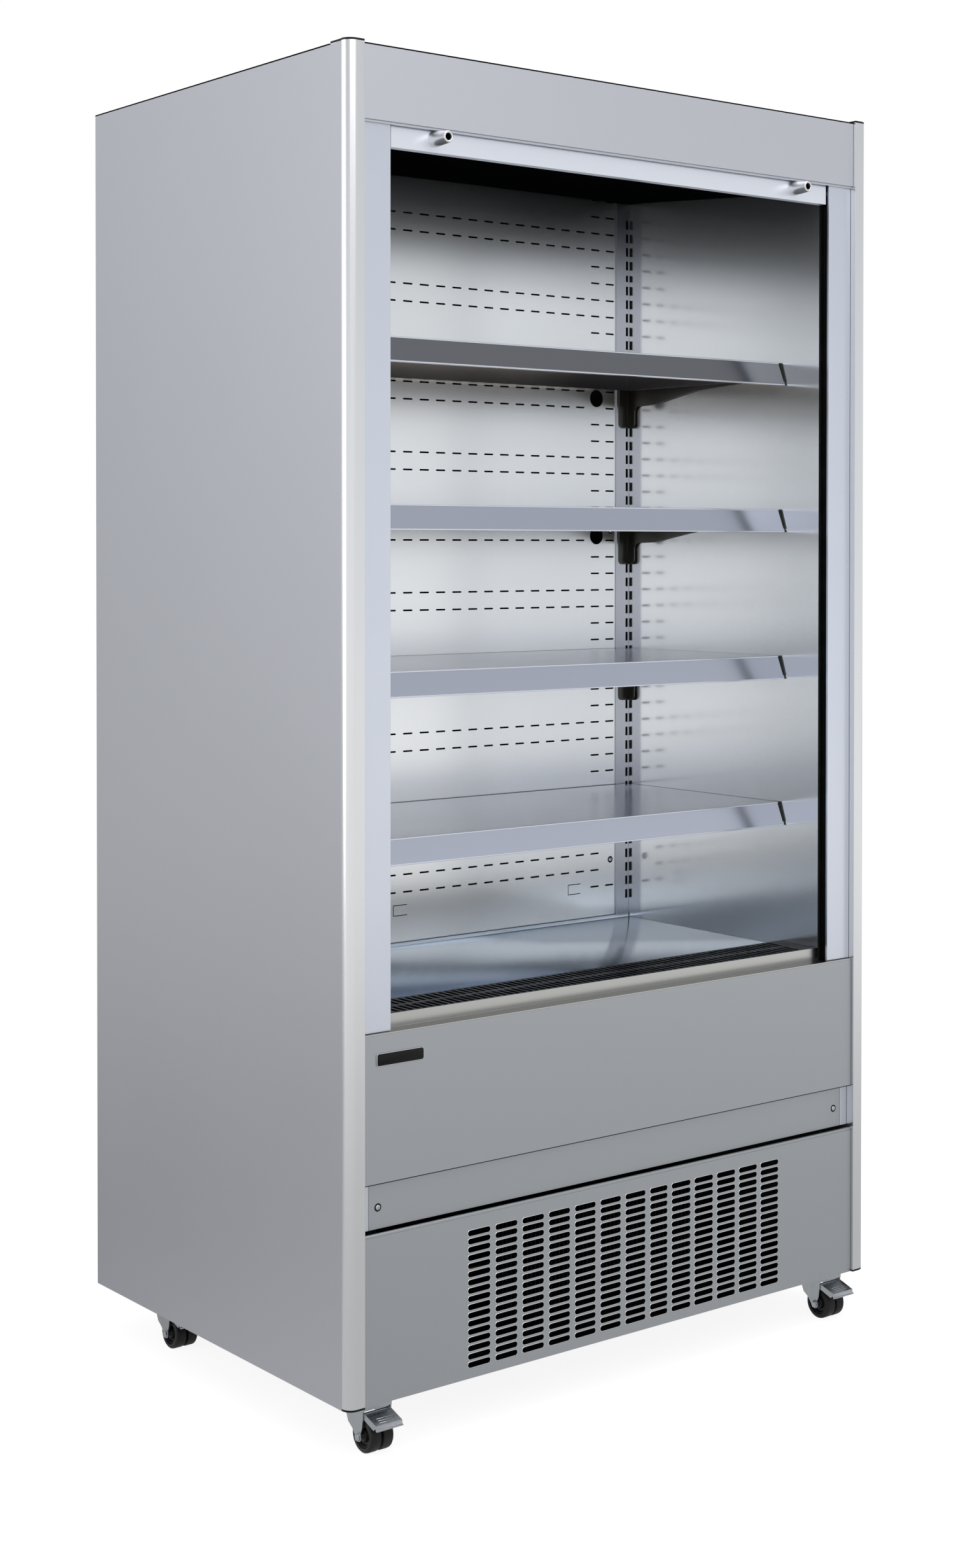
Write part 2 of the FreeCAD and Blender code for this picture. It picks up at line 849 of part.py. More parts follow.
def make_louvre_panel():
    half = float(half_front - S.panel_gap)
    low, high = float(bottom), float(louvre_top)
    first = low + float(S.louvre_first_row)
    holes = [
        wire_slot(x, first + row * float(S.louvre_row_pitch), length, float(S.louvre_high))
        for x, length in louvre_columns()
        for row in range(LOUVRE_ROWS)
    ]
    flat = holed_sheet(wire_rectangle(-half, half, low, high), holes, float(S.skin))
    face = feature("louvre_face", stand_facing_front(flat, float(front), float(S.skin)))
    x = (-half_front + S.panel_gap, half_front - S.panel_gap)
    y = (front + S.skin / 2, front + S.panel_return)
    returns = [
        box("louvre_return_top", x, (y[0], front + S.trim_setback), (louvre_top - S.skin, louvre_top)),
        box("louvre_return_foot", x, y, (bottom, bottom + S.skin)),
    ]
    node(fuse("louvre_panel", [face] + returns), "louvre_panel")


def make_kick_strip():
    """Set-back strip between the two front panels, with a return at its foot and its head."""
    half = half_front - S.strip_inset
    x = (-half, half)
    z = (strip_bottom, upper_panel_bottom - S.panel_gap)
    deep = (strip_face, front + S.panel_return)
    pieces = [
        box("kick_strip_face", x, (strip_face, strip_face + S.skin), z),
        box("kick_strip_foot", x, deep, (strip_bottom, strip_bottom + S.skin)),
        box("kick_strip_head", x, deep, (z[1] - S.skin, z[1])),
    ]
    node(fuse("kick_strip", pieces), "kick_strip")


def make_ledge():
    """Step behind the front panel: the blind's bar lands on it, and its face hides the grille."""
    wide = half_front - S.panel_gap
    clear = half_inner - S.seam_gap
    face_back = ledge_face + S.ledge_sheet
    pieces = [
        box("ledge_step", (-wide, wide), (front, guide_front), (upper_panel_top, ledge_top)),
        box("ledge_step_middle", (-clear, clear), (front, face_back), (upper_panel_top, ledge_top)),
        box(
            "ledge_face",
            (-clear, clear),
            (ledge_face, face_back),
            (upper_panel_top, ledge_top + S.ledge_rise),
        ),
    ]
    node(fuse("front_ledge", pieces), "front_ledge")


def make_badge():
    x0 = -half_front + S.badge_from_side
    x = (x0, x0 + S.badge_long)
    z1 = upper_panel_top - S.badge_from_top
    plate = box("badge_block", x, (front - S.badge_thick, front), (z1 - S.badge_high, z1))
    plate_round = doc.addObject("Part::Fillet", "badge_plate")
    plate_round.Base = plate
    doc.recompute()
    edges = []
    for index, edge in enumerate(plate.Shape.Edges):
        ends = [vertex.Point for vertex in edge.Vertexes]
        if abs(ends[0].x - ends[1].x) < 1e-6 and abs(ends[0].z - ends[1].z) < 1e-6:
            edges.append((index + 1, 3.0, 3.0))
    plate_round.Edges = edges
    node(plate_round, "badge_plate")


def screw_head(name, x, y, z):
    head = cylinder(name, S.screw_head, S.screw_head / 2, x, y - S.screw_head / 2, z, Y_AXIS)
    return head


def make_screws():
    pieces = []
    strip_z = strip_bottom + S.strip_height / 2 - S.screw_below_middle
    for side, sign in (("left", -1), ("right", 1)):
        strip_x = (half_width - S.screw_from_side) * sign
        wall_x = (half_inner - S.upright_width - S.screw_head * 3) * sign
        pieces.append(screw_head(f"strip_screw_{side}", strip_x, strip_face, strip_z))
        for level, rows in (("low", 1.55), ("middle", 21.6)):
            z = bottom + S.lower_first_row + S.slot_row_pitch * rows
            pieces.append(screw_head(f"wall_screw_{level}_{side}", wall_x, wall_face, z))
    node(group("screws", pieces), "screws")


# ------------------------------------------------------------ cold space interior


def wire_lance(x, z):
    """A C-shaped cut, open to the right, that frees a tab of the sheet."""
    long_side, high, cut_wide = (float(v) for v in (S.lance_long, S.lance_high, S.lance_cut))
    x0, x1 = x - long_side / 2, x + long_side / 2
    z0, z1 = z - high / 2, z + high / 2
    inner = x0 + cut_wide
    points = [(x0, z0), (x1, z0), (x1, z0 + cut_wide), (inner, z0 + cut_wide)]
    points += [(inner, z1 - cut_wide), (x1, z1 - cut_wide), (x1, z1), (x0, z1), (x0, z0)]
    return Part.makePolygon([FreeCAD.Vector(u, v, 0) for u, v in points])


def make_duct_panel(
    label, low, high, first_row, rows, full_rows, screw_rows, hole_levels, lances
):
    """Perforated back sheet. Full rows run its whole width, the rest only beside the uprights."""
    half = float(half_inner - S.upright_width - S.seam_gap)
    pitch = float(S.slot_pitch)
    long_side, short_side = float(S.slot_long), float(S.slot_wide)
    holes = []
    centres = []
    for z in hole_levels:
        centres.append((float(half_inner - S.cable_hole_inset), z))
    reach = float(S.cable_hole) / 2 + short_side
    for row in range(rows):
        z = first_row + row * float(S.slot_row_pitch)
        for column in range(SLOT_COLUMNS):
            from_edge = min(column, SLOT_COLUMNS - 1 - column)
            if row not in full_rows and from_edge > 1:
                continue
            if row in screw_rows and from_edge == 0:
                continue
            x = (column - (SLOT_COLUMNS - 1) / 2) * pitch
            near_hole = any(
                abs(x - hx) < reach + long_side / 2 and abs(z - hz) < reach for hx, hz in centres
            ) or any(
                abs(x - lx) < (float(S.lance_long) + long_side) / 2 + short_side
                and abs(z - lz) < (float(S.lance_high) + short_side) / 2 + short_side
                for lx, lz in lances
            )
            if not near_hole and low + 2 < z < high - 2:
                holes.append(wire_slot(x, z, long_side, short_side))
    for x, z in centres:
        if low + reach < z < high - reach:
            holes.append(wire_circle(x, z, float(S.cable_hole) / 2))
    holes += [wire_lance(x, z) for x, z in lances]
    shape = holed_sheet(wire_rectangle(-half, half, low, high), holes, float(S.skin))
    shape = stand_facing_front(shape, float(wall_face), float(S.skin))
    node(feature(label, shape), label)


def make_duct_panels():
    seam_z = float(bottom + S.duct_seam)
    low = float(wall_bottom)
    first = float(bottom + S.lower_first_row)
    full = [4 * pair + extra for pair in range(8) for extra in (1, 2)]
    levels = [
        float(bottom + S.top_shelf - S.shelf_pitch * number - S.cable_hole_drop)
        for number in range(SHELF_COUNT)
    ]
    lance_x = float(S.lance_from_middle)
    lance_z = float(bottom + S.lance_height)
    lances = [
        (x, z)
        for x in (lance_x, lance_x - float(S.lance_pitch))
        for z in (lance_z, lance_z + float(S.lance_rise))
    ]
    make_duct_panel(
        "duct_panel_lower", low, seam_z, first, LOWER_ROWS, full, (1, 2), levels, lances
    )
    first = float(bottom + S.upper_first_row)
    high = float(bottom + S.ceiling_back_height) + 12
    begin = seam_z + float(S.seam_gap)
    make_duct_panel("duct_panel_upper", begin, high, first, UPPER_ROWS, [1, 2, 5, 6], (), [], [])


def upright_slots(low, high):
    """Centre and half height of each slot: three runs, with a short slot where two lengths meet."""
    pitch = float(S.upright_pitch)
    half_high = float(S.upright_slot_high) / 2
    joint = float(bottom + S.upright_joint)
    runs = (
        (S.upright_first_slot, float(bottom + S.upright_second_run) - pitch / 2),
        (S.upright_second_run, joint - pitch / 2),
        (S.upright_third_run, high - pitch / 2),
    )
    slots = [(joint, float(S.upright_joint_slot_high) / 2)]
    for first, end in runs:
        z = float(bottom + first)
        while z < end:
            if z > low + pitch:
                slots.append((z, half_high))
            z += pitch
    return sorted(slots)


def make_uprights():
    """Slotted channels in the back corners; the shelf brackets hook into them."""
    low = float(wall_bottom)
    high = float(bottom + S.ceiling_back_height - S.foam_thickness / 20)
    width = float(S.upright_width - S.seam_gap)
    sheet_thick = float(S.upright_sheet)
    notch = width - float(S.upright_slot_wide)
    comb = [(0, low), (width, low)]
    for z, half_high in upright_slots(low, high):
        comb += [(width, z - half_high), (notch, z - half_high)]
        comb += [(notch, z + half_high), (width, z + half_high)]
    comb += [(width, high), (0, high), (0, low)]
    outline = Part.makePolygon([FreeCAD.Vector(u, v, 0) for u, v in comb])
    web = stand_facing_front(holed_sheet(outline, [], sheet_thick), 0, sheet_thick)
    depth = float(S.upright_depth)
    left_wall = Part.makeBox(sheet_thick, depth, high - low, FreeCAD.Vector(0, 0, low))
    right_wall = Part.makeBox(
        sheet_thick,
        depth - sheet_thick,
        high - low,
        FreeCAD.Vector(width - sheet_thick, sheet_thick, low),
    )
    channel = web.fuse([left_wall, right_wall]).removeSplitter()
    shapes = []
    for sign in (1, -1):
        piece = channel.copy()
        piece.translate(
            FreeCAD.Vector(float(half_inner - S.upright_width), float(upright_front), 0)
        )
        shapes.append(piece if sign > 0 else piece.mirror(FreeCAD.Vector(), X_AXIS))
    node(feature("shelf_uprights", Part.makeCompound(shapes)), "shelf_uprights")


def make_ceiling():
    """Black sloping panel under the roof; air leaves through the slots along its front."""
    half = float(half_inner - S.seam_gap)
    y0, y1 = float(ceiling_front), float(wall_face)
    z0 = float(bottom + S.ceiling_front_height)
    z1 = float(bottom + S.ceiling_back_height)
    slope = math.atan2(z1 - z0, y1 - y0)
    length = math.hypot(z1 - z0, y1 - y0)
    long_side = float(S.grille_slot_long)
    pitch = float(S.grille_slot_pitch)
    count = int((2 * half - 2 * float(S.grille_margin)) / pitch)
    holes = []
    for index in range(count):
        x = (index - (count - 1) / 2) * pitch
        holes.append(wire_slot(x, 100, float(S.grille_slot_wide), long_side))
    sheet_shape = holed_sheet(wire_rectangle(-half, half, 0, length), holes, float(S.skin))
    front_lip = Part.makeBox(2 * half, float(S.skin), 14, FreeCAD.Vector(-half, 0, 0))
    shape = sheet_shape.fuse([front_lip]).removeSplitter()
    shape.Placement = FreeCAD.Placement(
        FreeCAD.Vector(0, y0, z0), FreeCAD.Rotation(X_AXIS, math.degrees(slope))
    )
    obj = feature("ceiling_panel", shape.copy())
    node(obj, "ceiling_panel")


def make_well_pan():
    """Tray under the deck: it catches the melt water, and its front flange carries the grille."""
    face = ledge_face + S.ledge_sheet + S.seam_gap
    finish = foam_front_of_rear - S.seam_gap * 2
    skin = S.skin
    outline = [
        (face, well_floor - skin),
        (finish, well_floor - skin),
        (finish, well_floor + skin * 20),
        (finish - skin, well_floor + skin * 20),
        (finish - skin, well_floor),
        (face + skin, well_floor),
        (face + skin, rest_top - skin),
        (face + S.grille_rest, rest_top - skin),
        (face + S.grille_rest, rest_top),
        (face, rest_top),
    ]
    start = -half_inner + S.seam_gap
    length = S.inner_width - S.seam_gap * 2
    pan = padded("well_pan_sheet", "YZ_Plane", [outline], start, length)
    node(cut("well_pan", pan, [pipe_hole("well_pan_hole", machine_ceiling)]), "well_pan")


def make_return_grille():
    half = float(half_inner - S.moving_gap * 4)
    y0, y1 = float(grille_front), float(grille_back)
    pitch = float(S.grille_slot_pitch)
    count = int((2 * half - 2 * float(S.grille_margin)) / pitch)
    middle = (y0 + y1) / 2
    holes = []
    for row in (-0.5, 0.5):
        y = middle + row * float(S.grille_row_pitch)
        for index in range(count):
            x = (index - (count - 1) / 2 + row / 2) * pitch
            holes.append(
                wire_slot(x, y, float(S.grille_slot_wide), float(S.grille_slot_long))
            )
    thickness = float(grille_top - grille_bottom)
    shape = holed_sheet(wire_rectangle(-half, half, y0, y1), holes, thickness)
    shape.translate(FreeCAD.Vector(0, 0, float(grille_bottom)))
    node(feature("return_grille", shape), "return_grille")


def make_base_deck():
    """Lowest display level: a tray on two deep side legs that stand in the well."""
    half = half_inner - S.moving_gap * 4
    skin = S.skin
    finish = wall_face - S.upright_proud - S.panel_gap
    leg_foot = well_floor + S.moving_gap
    x = (-half, half)
    step = deck_sheet_front
    pieces = [
        box("deck_sheet", x, (step, finish), (deck_top - skin, deck_top)),
        box("deck_rear_lip", x, (finish - skin, finish), (deck_top - skin, wall_bottom)),
        box("deck_step_up", x, (step, step + skin), (rest_top - skin, deck_top)),
        box("deck_step", x, (deck_front, step + skin), (rest_top - skin, rest_top)),
        box("deck_front_fold", x, (deck_front, deck_front + skin), (deck_top - skin * 12, rest_top)),
    ]
    for side, sign in (("left", -1), ("right", 1)):
        leg = (-half, -half + skin) if sign < 0 else (half - skin, half)
        pieces.append(box(f"deck_leg_{side}", leg, (deck_front, finish), (leg_foot, rest_top)))
        pieces.append(box(f"deck_leg_top_{side}", leg, (step, finish), (rest_top - skin, deck_top)))
    node(fuse("base_deck", pieces), "base_deck")


# ------------------------------------------------------------------------ shelves


def make_shelf(number):
    """A folded tray with a leaning price rail across its front."""
    level = bottom + S.top_shelf - S.shelf_pitch * (number - 1)
    name = f"shelf_{number}"
    skin = S.shelf_sheet
    edge = front + S.shelf_front
    inner = half_shelf - S.arm_sheet - S.shelf_side_gap * 1.5
    plate_y = (edge, shelf_back)
    flange_z = (level - S.shelf_flange, level)
    tray = [
        box(f"{name}_plate", (-half_shelf, half_shelf), plate_y, (level - skin, level)),
        box(f"{name}_rear", (-inner, inner), (shelf_back - skin, shelf_back), flange_z),
        box(
            f"{name}_rear_lip",
            (-inner, inner),
            (shelf_back - S.rail_lip, shelf_back),
            (level - S.shelf_flange, level - S.shelf_flange + skin),
        ),
        box(f"{name}_left", (-inner, -inner + skin), plate_y, flange_z),
        box(f"{name}_right", (inner - skin, inner), plate_y, flange_z),
    ]
    thick = S.rail_sheet
    foot = level - S.rail_height
    rail_outline = [
        (edge - thick, level),
        (edge, level),
        (edge, level - skin * 2),
        (edge - S.rail_lean + thick, foot + thick),
        (edge - S.rail_lean + S.rail_lip, foot + thick),
        (edge - S.rail_lean + S.rail_lip, foot),
        (edge - S.rail_lean, foot),
        (edge - S.rail_lean, foot + thick * 2),
        (edge - thick, level - skin * 2),
    ]
    rail = padded(f"{name}_rail", "YZ_Plane", [rail_outline], -half_shelf, half_shelf * 2)
    node(group(name, [fuse(f"{name}_tray", tray), rail]), name)


def bracket_shape():
    """One left-hand bracket, with its shelf level at z = 0."""
    top_z = -float(S.shelf_sheet + S.moving_gap)
    y_front = float(front + S.shelf_front + S.rail_sheet)
    y_plate = float(upright_front)
    sheet_thick = float(S.arm_sheet)
    reach = y_plate - y_front
    near = -float(S.arm_front_depth)
    middle = -float(S.arm_middle_depth)
    deep = -float(S.arm_rear_depth)
    drop = -float(S.bracket_drop)
    x = -float(half_shelf - S.shelf_side_gap / 2)
    throat = y_plate - 20

    def point(y, z):
        return FreeCAD.Vector(x, y, z)

    arm_edges = [
        Part.makeLine(point(y_front, top_z), point(y_plate, top_z)),
        Part.makeLine(point(y_plate, top_z), point(y_plate, drop)),
        Part.makeLine(point(y_plate, drop), point(y_plate - 12, drop)),
        Part.Arc(
            point(y_plate - 12, drop), point(y_plate - 17.7, drop + 2.3), point(y_plate - 20, drop + 8)
        ).toShape(),
        Part.makeLine(point(throat, drop + 8), point(throat, deep - 12)),
        Part.Arc(
            point(throat, deep - 12), point(throat - 3.5, deep - 3.5), point(throat - 12, deep)
        ).toShape(),
        Part.makeLine(point(throat - 12, deep), point(y_plate - reach * 0.2, deep + 1.5)),
        Part.Arc(
            point(y_plate - reach * 0.2, deep + 1.5),
            point(y_plate - reach * 0.33, (deep + middle) / 2 + 1),
            point(y_plate - reach * 0.48, middle),
        ).toShape(),
        Part.makeLine(point(y_plate - reach * 0.48, middle), point(y_front, near)),
        Part.makeLine(point(y_front, near), point(y_front, top_z)),
    ]
    arm = Part.Face(Part.Wire(arm_edges)).extrude(FreeCAD.Vector(sheet_thick, 0, 0))
    width = float(S.bracket_plate)
    plate = Part.makeBox(
        width, sheet_thick, top_z - drop, FreeCAD.Vector(x, y_plate - sheet_thick, drop)
    )
    plate = plate.makeFillet(
        8, [e for e in plate.Edges if is_low_free_corner(e, x + width, drop)]
    )
    hook_x = -float(half_inner - S.upright_slot_wide)
    hook_depth = float(S.upright_sheet) + 6
    hooks = []
    for slot in bracket_slots():
        bar = Part.makeBox(
            5 - 1.5, hook_depth, 7, FreeCAD.Vector(hook_x - 3.5, y_plate - 0.5, slot)
        )
        hooks.append(bar)
    return arm.fuse([plate] + hooks).removeSplitter()


def is_low_free_corner(edge, x, z):
    ends = [vertex.Point for vertex in edge.Vertexes]
    return all(abs(end.x - x) < 1e-6 and abs(end.z - z) < 1e-6 for end in ends)


def bracket_slots():
    """Heights of the hooks, counted from the shelf level down."""
    first = float(S.upright_first_slot) - float(S.top_shelf)
    pitch = float(S.upright_pitch)
    phase = first % pitch
    return [phase - pitch * count - 5 for count in (1, 3)]


def make_brackets():
    one = bracket_shape()
    shapes = []
    for number in range(SHELF_COUNT):
        level = float(bottom + S.top_shelf - S.shelf_pitch * number)
        for sign in (-1, 1):
            piece = one.copy() if sign < 0 else one.mirror(FreeCAD.Vector(), X_AXIS)
            piece.translate(FreeCAD.Vector(0, 0, level))
            shapes.append(piece)
    node(feature("shelf_brackets", Part.makeCompound(shapes)), "shelf_brackets")


# -------------------------------------------------------------------- night blind


def make_blind():
    wall = S.bar_wall
    outer = rectangle(bar_front, bar_back, bar_bottom, bar_top)
    void = rectangle(bar_front + wall, bar_back - wall, bar_bottom + wall, bar_top - wall)
    profile = padded("pull_bar_profile", "YZ_Plane", [outer, void], -half_bar, half_bar * 2)
    pieces = [profile]
    glide_y = (bar_front + bar_back) / 2
    glide_z = (bar_bottom + bar_top) / 2
    reach = half_inner + S.guide_depth - S.guide_wall - S.seam_gap
    for side, sign in (("left", -1), ("right", 1)):
        start = -reach if sign < 0 else half_bar - wall
        length = reach - half_bar + wall
        name = f"pull_bar_glide_{side}"
        pieces.append(cylinder(name, S.glide_radius, length, start, glide_y, glide_z, X_AXIS))
        end = (start, start + length) if sign > 0 else (-half_bar, -half_bar + wall)
        if sign > 0:
            end = (half_bar - wall, half_bar)
        inner_y = (bar_front + wall / 2, bar_back - wall / 2)
        inner_z = (bar_bottom + wall / 2, bar_top - wall / 2)
        pieces.append(box(f"pull_bar_end_{side}", end, inner_y, inner_z))
    node(fuse("pull_bar", pieces), "pull_bar")

    handles = []
    z = bar_bottom + S.handle_rise
    for side, sign in (("left", -1), ("right", 1)):
        x = S.handle_spacing / 2 * sign
        taper = cone(
            f"handle_{side}_taper", S.handle_base / 2, S.handle_tip / 2, S.handle_length, x, bar_front, z
        )
        bore = cylinder(
            f"handle_{side}_bore",
            S.handle_bore / 2,
            S.handle_length - S.bar_wall * 2,
            x,
            bar_front - S.handle_length,
            z,
            Y_AXIS,
        )
        handles.append(cut(f"handle_{side}", taper, [bore]))
    node(group("pull_handles", handles), "pull_handles")

    half_roller = half_inner - S.guide_depth
    tube_outer = cylinder(
        "roller_tube_outer",
        S.roller_radius,
        half_roller * 2,
        -half_roller,
        roller_axis_y,
        roller_axis_z,
        X_AXIS,
    )
    pin_reach = half_inner - S.seam_gap * 4
    pin = cylinder(
        "roller_pin", S.roller_pin, pin_reach * 2, -pin_reach, roller_axis_y, roller_axis_z, X_AXIS
    )
    node(fuse("blind_roller", [tube_outer, pin]), "blind_roller")

    half_cloth = S.cloth_width / 2
    roll = cylinder(
        "cloth_roll_outer",
        S.roll_radius,
        S.cloth_width,
        -half_cloth,
        roller_axis_y,
        roller_axis_z,
        X_AXIS,
    )
    core = cylinder(
        "cloth_roll_core",
        S.roller_radius,
        S.cloth_width,
        -half_cloth,
        roller_axis_y,
        roller_axis_z,
        X_AXIS,
    )
    node(cut("blind_cloth_roll", roll, [core]), "blind_cloth_roll")

    cloth = box(
        "blind_fabric",
        (-half_cloth, half_cloth),
        (cloth_face, cloth_face + S.cloth),
        (bar_top, roller_axis_z),
    )
    node(cloth, "blind_fabric")

    plates = []
    plate_y = (roller_axis_y - S.roll_radius, roller_axis_y + S.roll_radius)
    plate_z = (canopy_bottom + S.bar_wall * 4, canopy_top - S.skin - S.seam_gap)
    for side, sign in (("left", -1), ("right", 1)):
        near = (half_inner - S.guide_depth + S.moving_gap * 4) * sign
        far = (half_inner - S.seam_gap) * sign
        x = (near, far) if sign > 0 else (far, near)
        blank = box(f"blind_bracket_blank_{side}", x, plate_y, plate_z)
        hole = cylinder(
            f"blind_bracket_hole_{side}",
            S.roller_pin + S.moving_gap,
            S.guide_depth * 2,
            x[0] - S.guide_depth / 2,
            roller_axis_y,
            roller_axis_z,
            X_AXIS,
        )
        plates.append(cut(f"blind_bracket_{side}", blank, [hole]))
    node(group("blind_brackets", plates), "blind_brackets")


# ------------------------------------------------------------------------ castors

CASTORS = {
    "front_left": (-1, S.front_axle),
    "front_right": (1, S.front_axle),
    "rear_left": (-1, S.rear_axle),
    "rear_right": (1, S.rear_axle),
}


def side_plate(name, x, axle_y, corners):
    """A fork cheek: corners are (distance behind the axle, height)."""
    outline = [(axle_y + dy, size(z)) for dy, z in corners]
    return padded(name, "YZ_Plane", [outline], x, S.fork_sheet)


def make_castor(place_name, side, axle):
    centre = S.castor_spread / 2 * side
    axle_y = front + axle
    swivel_y = axle_y + S.swivel_offset
    axle_z = S.wheel_radius
    plate_bottom = bottom - S.castor_plate_thick
    race_bottom = plate_bottom - S.bearing_thick
    crown_top = race_bottom - S.moving_gap
    crown_bottom = crown_top - S.crown_thick
    half_fork = S.wheel_width / 2 + S.fork_gap + S.fork_sheet

    wheel_half = S.wheel_width / 2
    groove_deep = S.wheel_radius - S.wheel_groove
    profile = [
        (-wheel_half, S.axle_radius + S.moving_gap),
        (-wheel_half, S.wheel_radius - 2.5),
        (-wheel_half + 2.5, S.wheel_radius),
        (-S.wheel_groove / 2, S.wheel_radius),
        (-S.wheel_groove / 2, groove_deep),
        (S.wheel_groove / 2, groove_deep),
        (S.wheel_groove / 2, S.wheel_radius),
        (wheel_half - 2.5, S.wheel_radius),
        (wheel_half, S.wheel_radius - 2.5),
        (wheel_half, S.axle_radius + S.moving_gap),
    ]
    wheel_name = f"wheel_{place_name}"
    body = doc.addObject("PartDesign::Body", wheel_name)
    sketch = body.newObject("Sketcher::SketchObject", wheel_name + "_outline")
    plane = [f for f in body.Origin.OriginFeatures if f.Role == "XZ_Plane"][0]
    sketch.AttachmentSupport = [(plane, "")]
    sketch.MapMode = "FlatFace"
    closed_outline(sketch, profile)
    turned = body.newObject("PartDesign::Revolution", wheel_name + "_turn")
    turned.Profile = sketch
    turned.ReferenceAxis = (sketch, ["H_Axis"])
    turned.Angle = 360
    place(body, centre, axle_y, axle_z)
    node(body, wheel_name)

    fork_name = f"fork_{place_name}"
    low = S.wheel_radius
    cheek = [
        (size(-11), crown_top),
        (size(-8), low + 14),
        (size(-5), low + 7),
        (size(-5), low - 3),
        (size(-2), low - 6),
        (size(3), low - 6),
        (size(7.5), low - 3),
        (size(15.5), low + 7.5),
        (size(26.5), low + 15),
        (size(32), low + 27),
        (size(35), crown_top),
    ]
    pieces = [
        side_plate(f"{fork_name}_left", centre - half_fork, axle_y, cheek),
        side_plate(f"{fork_name}_right", centre + half_fork - S.fork_sheet, axle_y, cheek),
        box(
            f"{fork_name}_crown",
            (centre - half_fork, centre + half_fork),
            (axle_y - 11, axle_y + 35),
            (crown_bottom, crown_top),
        ),
    ]
    yoke = cut(
        f"{fork_name}_yoke",
        fuse(f"{fork_name}_blank", pieces),
        [
            cylinder(
                f"{fork_name}_bore",
                S.kingpin_radius + S.moving_gap,
                S.crown_thick * 3,
                centre,
                swivel_y,
                crown_bottom - S.crown_thick,
            )
        ],
    )
    axle_reach = half_fork + 4
    axle_bar = cylinder(
        f"{fork_name}_axle", S.axle_radius, axle_reach * 2, centre - axle_reach, axle_y, axle_z, X_AXIS
    )
    pin_y = axle_y - S.pedal_pin_ahead
    pin_z = S.pedal_pin_height
    pin = cylinder(
        f"{fork_name}_pin",
        S.pedal_pin_radius,
        half_fork * 2,
        centre - half_fork,
        pin_y,
        pin_z,
        X_AXIS,
    )
    fork = fuse(f"{fork_name}_assembly", [yoke, axle_bar, pin])
    node(fork, fork_name)

    pedal_name = f"pedal_{place_name}"
    half_pedal = S.wheel_width / 2 + S.fork_gap - S.moving_gap
    tread = [
        (axle_y - 12.5, low + 33),
        (axle_y - 38, low + 24.5),
        (axle_y - 39, low + 18),
        (axle_y - 43, low + 18.5),
        (axle_y - 43, low + 20.5),
        (axle_y - 40.8, low + 20),
        (axle_y - 39.8, low + 26),
        (axle_y - 12.5, low + 35),
    ]
    cheek_shape = [
        (pin_y + 5, pin_z - 3),
        (pin_y + 5, pin_z + 3),
        (pin_y + 2, pin_z + 5),
        (pin_y - 4, pin_z + 5),
        (axle_y - 12.5, low + 34),
        (axle_y - 38.5, low + 25.3),
        (axle_y - 38.5, low + 22),
        (axle_y - 33, low + 18),
        (axle_y - 12.5, low + 25.5),
        (pin_y - 3, pin_z - 5),
        (pin_y + 3, pin_z - 5),
    ]
    sheet_width = S.pedal_sheet
    right_cheek = centre + half_pedal - sheet_width
    pedal_pieces = [
        padded(f"{pedal_name}_tread", "YZ_Plane", [tread], centre - half_pedal, half_pedal * 2),
        padded(f"{pedal_name}_left", "YZ_Plane", [cheek_shape], centre - half_pedal, sheet_width),
        padded(f"{pedal_name}_right", "YZ_Plane", [cheek_shape], right_cheek, sheet_width),
    ]
    pedal_bore = cylinder(
        f"{pedal_name}_bore",
        S.pedal_pin_radius + S.moving_gap,
        half_fork * 2,
        centre - half_fork,
        pin_y,
        pin_z,
        X_AXIS,
    )
    pedal = cut(pedal_name, fuse(f"{pedal_name}_blank", pedal_pieces), [pedal_bore])
    node(pedal, pedal_name)

    half_plate = S.castor_plate / 2
    plate = box(
        f"castor_plate_{place_name}",
        (centre - half_plate, centre + half_plate),
        (swivel_y - half_plate, swivel_y + half_plate),
        (plate_bottom, bottom),
    )
    race = cylinder(
        f"castor_race_{place_name}",
        S.bearing_radius,
        S.bearing_thick,
        centre,
        swivel_y,
        race_bottom,
    )
    pin_foot = crown_bottom - S.castor_plate_thick / 2
    kingpin = cylinder(
        f"castor_kingpin_{place_name}",
        S.kingpin_radius,
        bottom - pin_foot,
        centre,
        swivel_y,
        pin_foot,
    )
    return fuse(f"castor_mount_{place_name}", [plate, race, kingpin])


def make_castors():
    mounts = [make_castor(name, side, axle) for name, (side, axle) in CASTORS.items()]
    node(group("castor_plates", mounts), "castor_plates")


# ---------------------------------------------------------------------- machinery

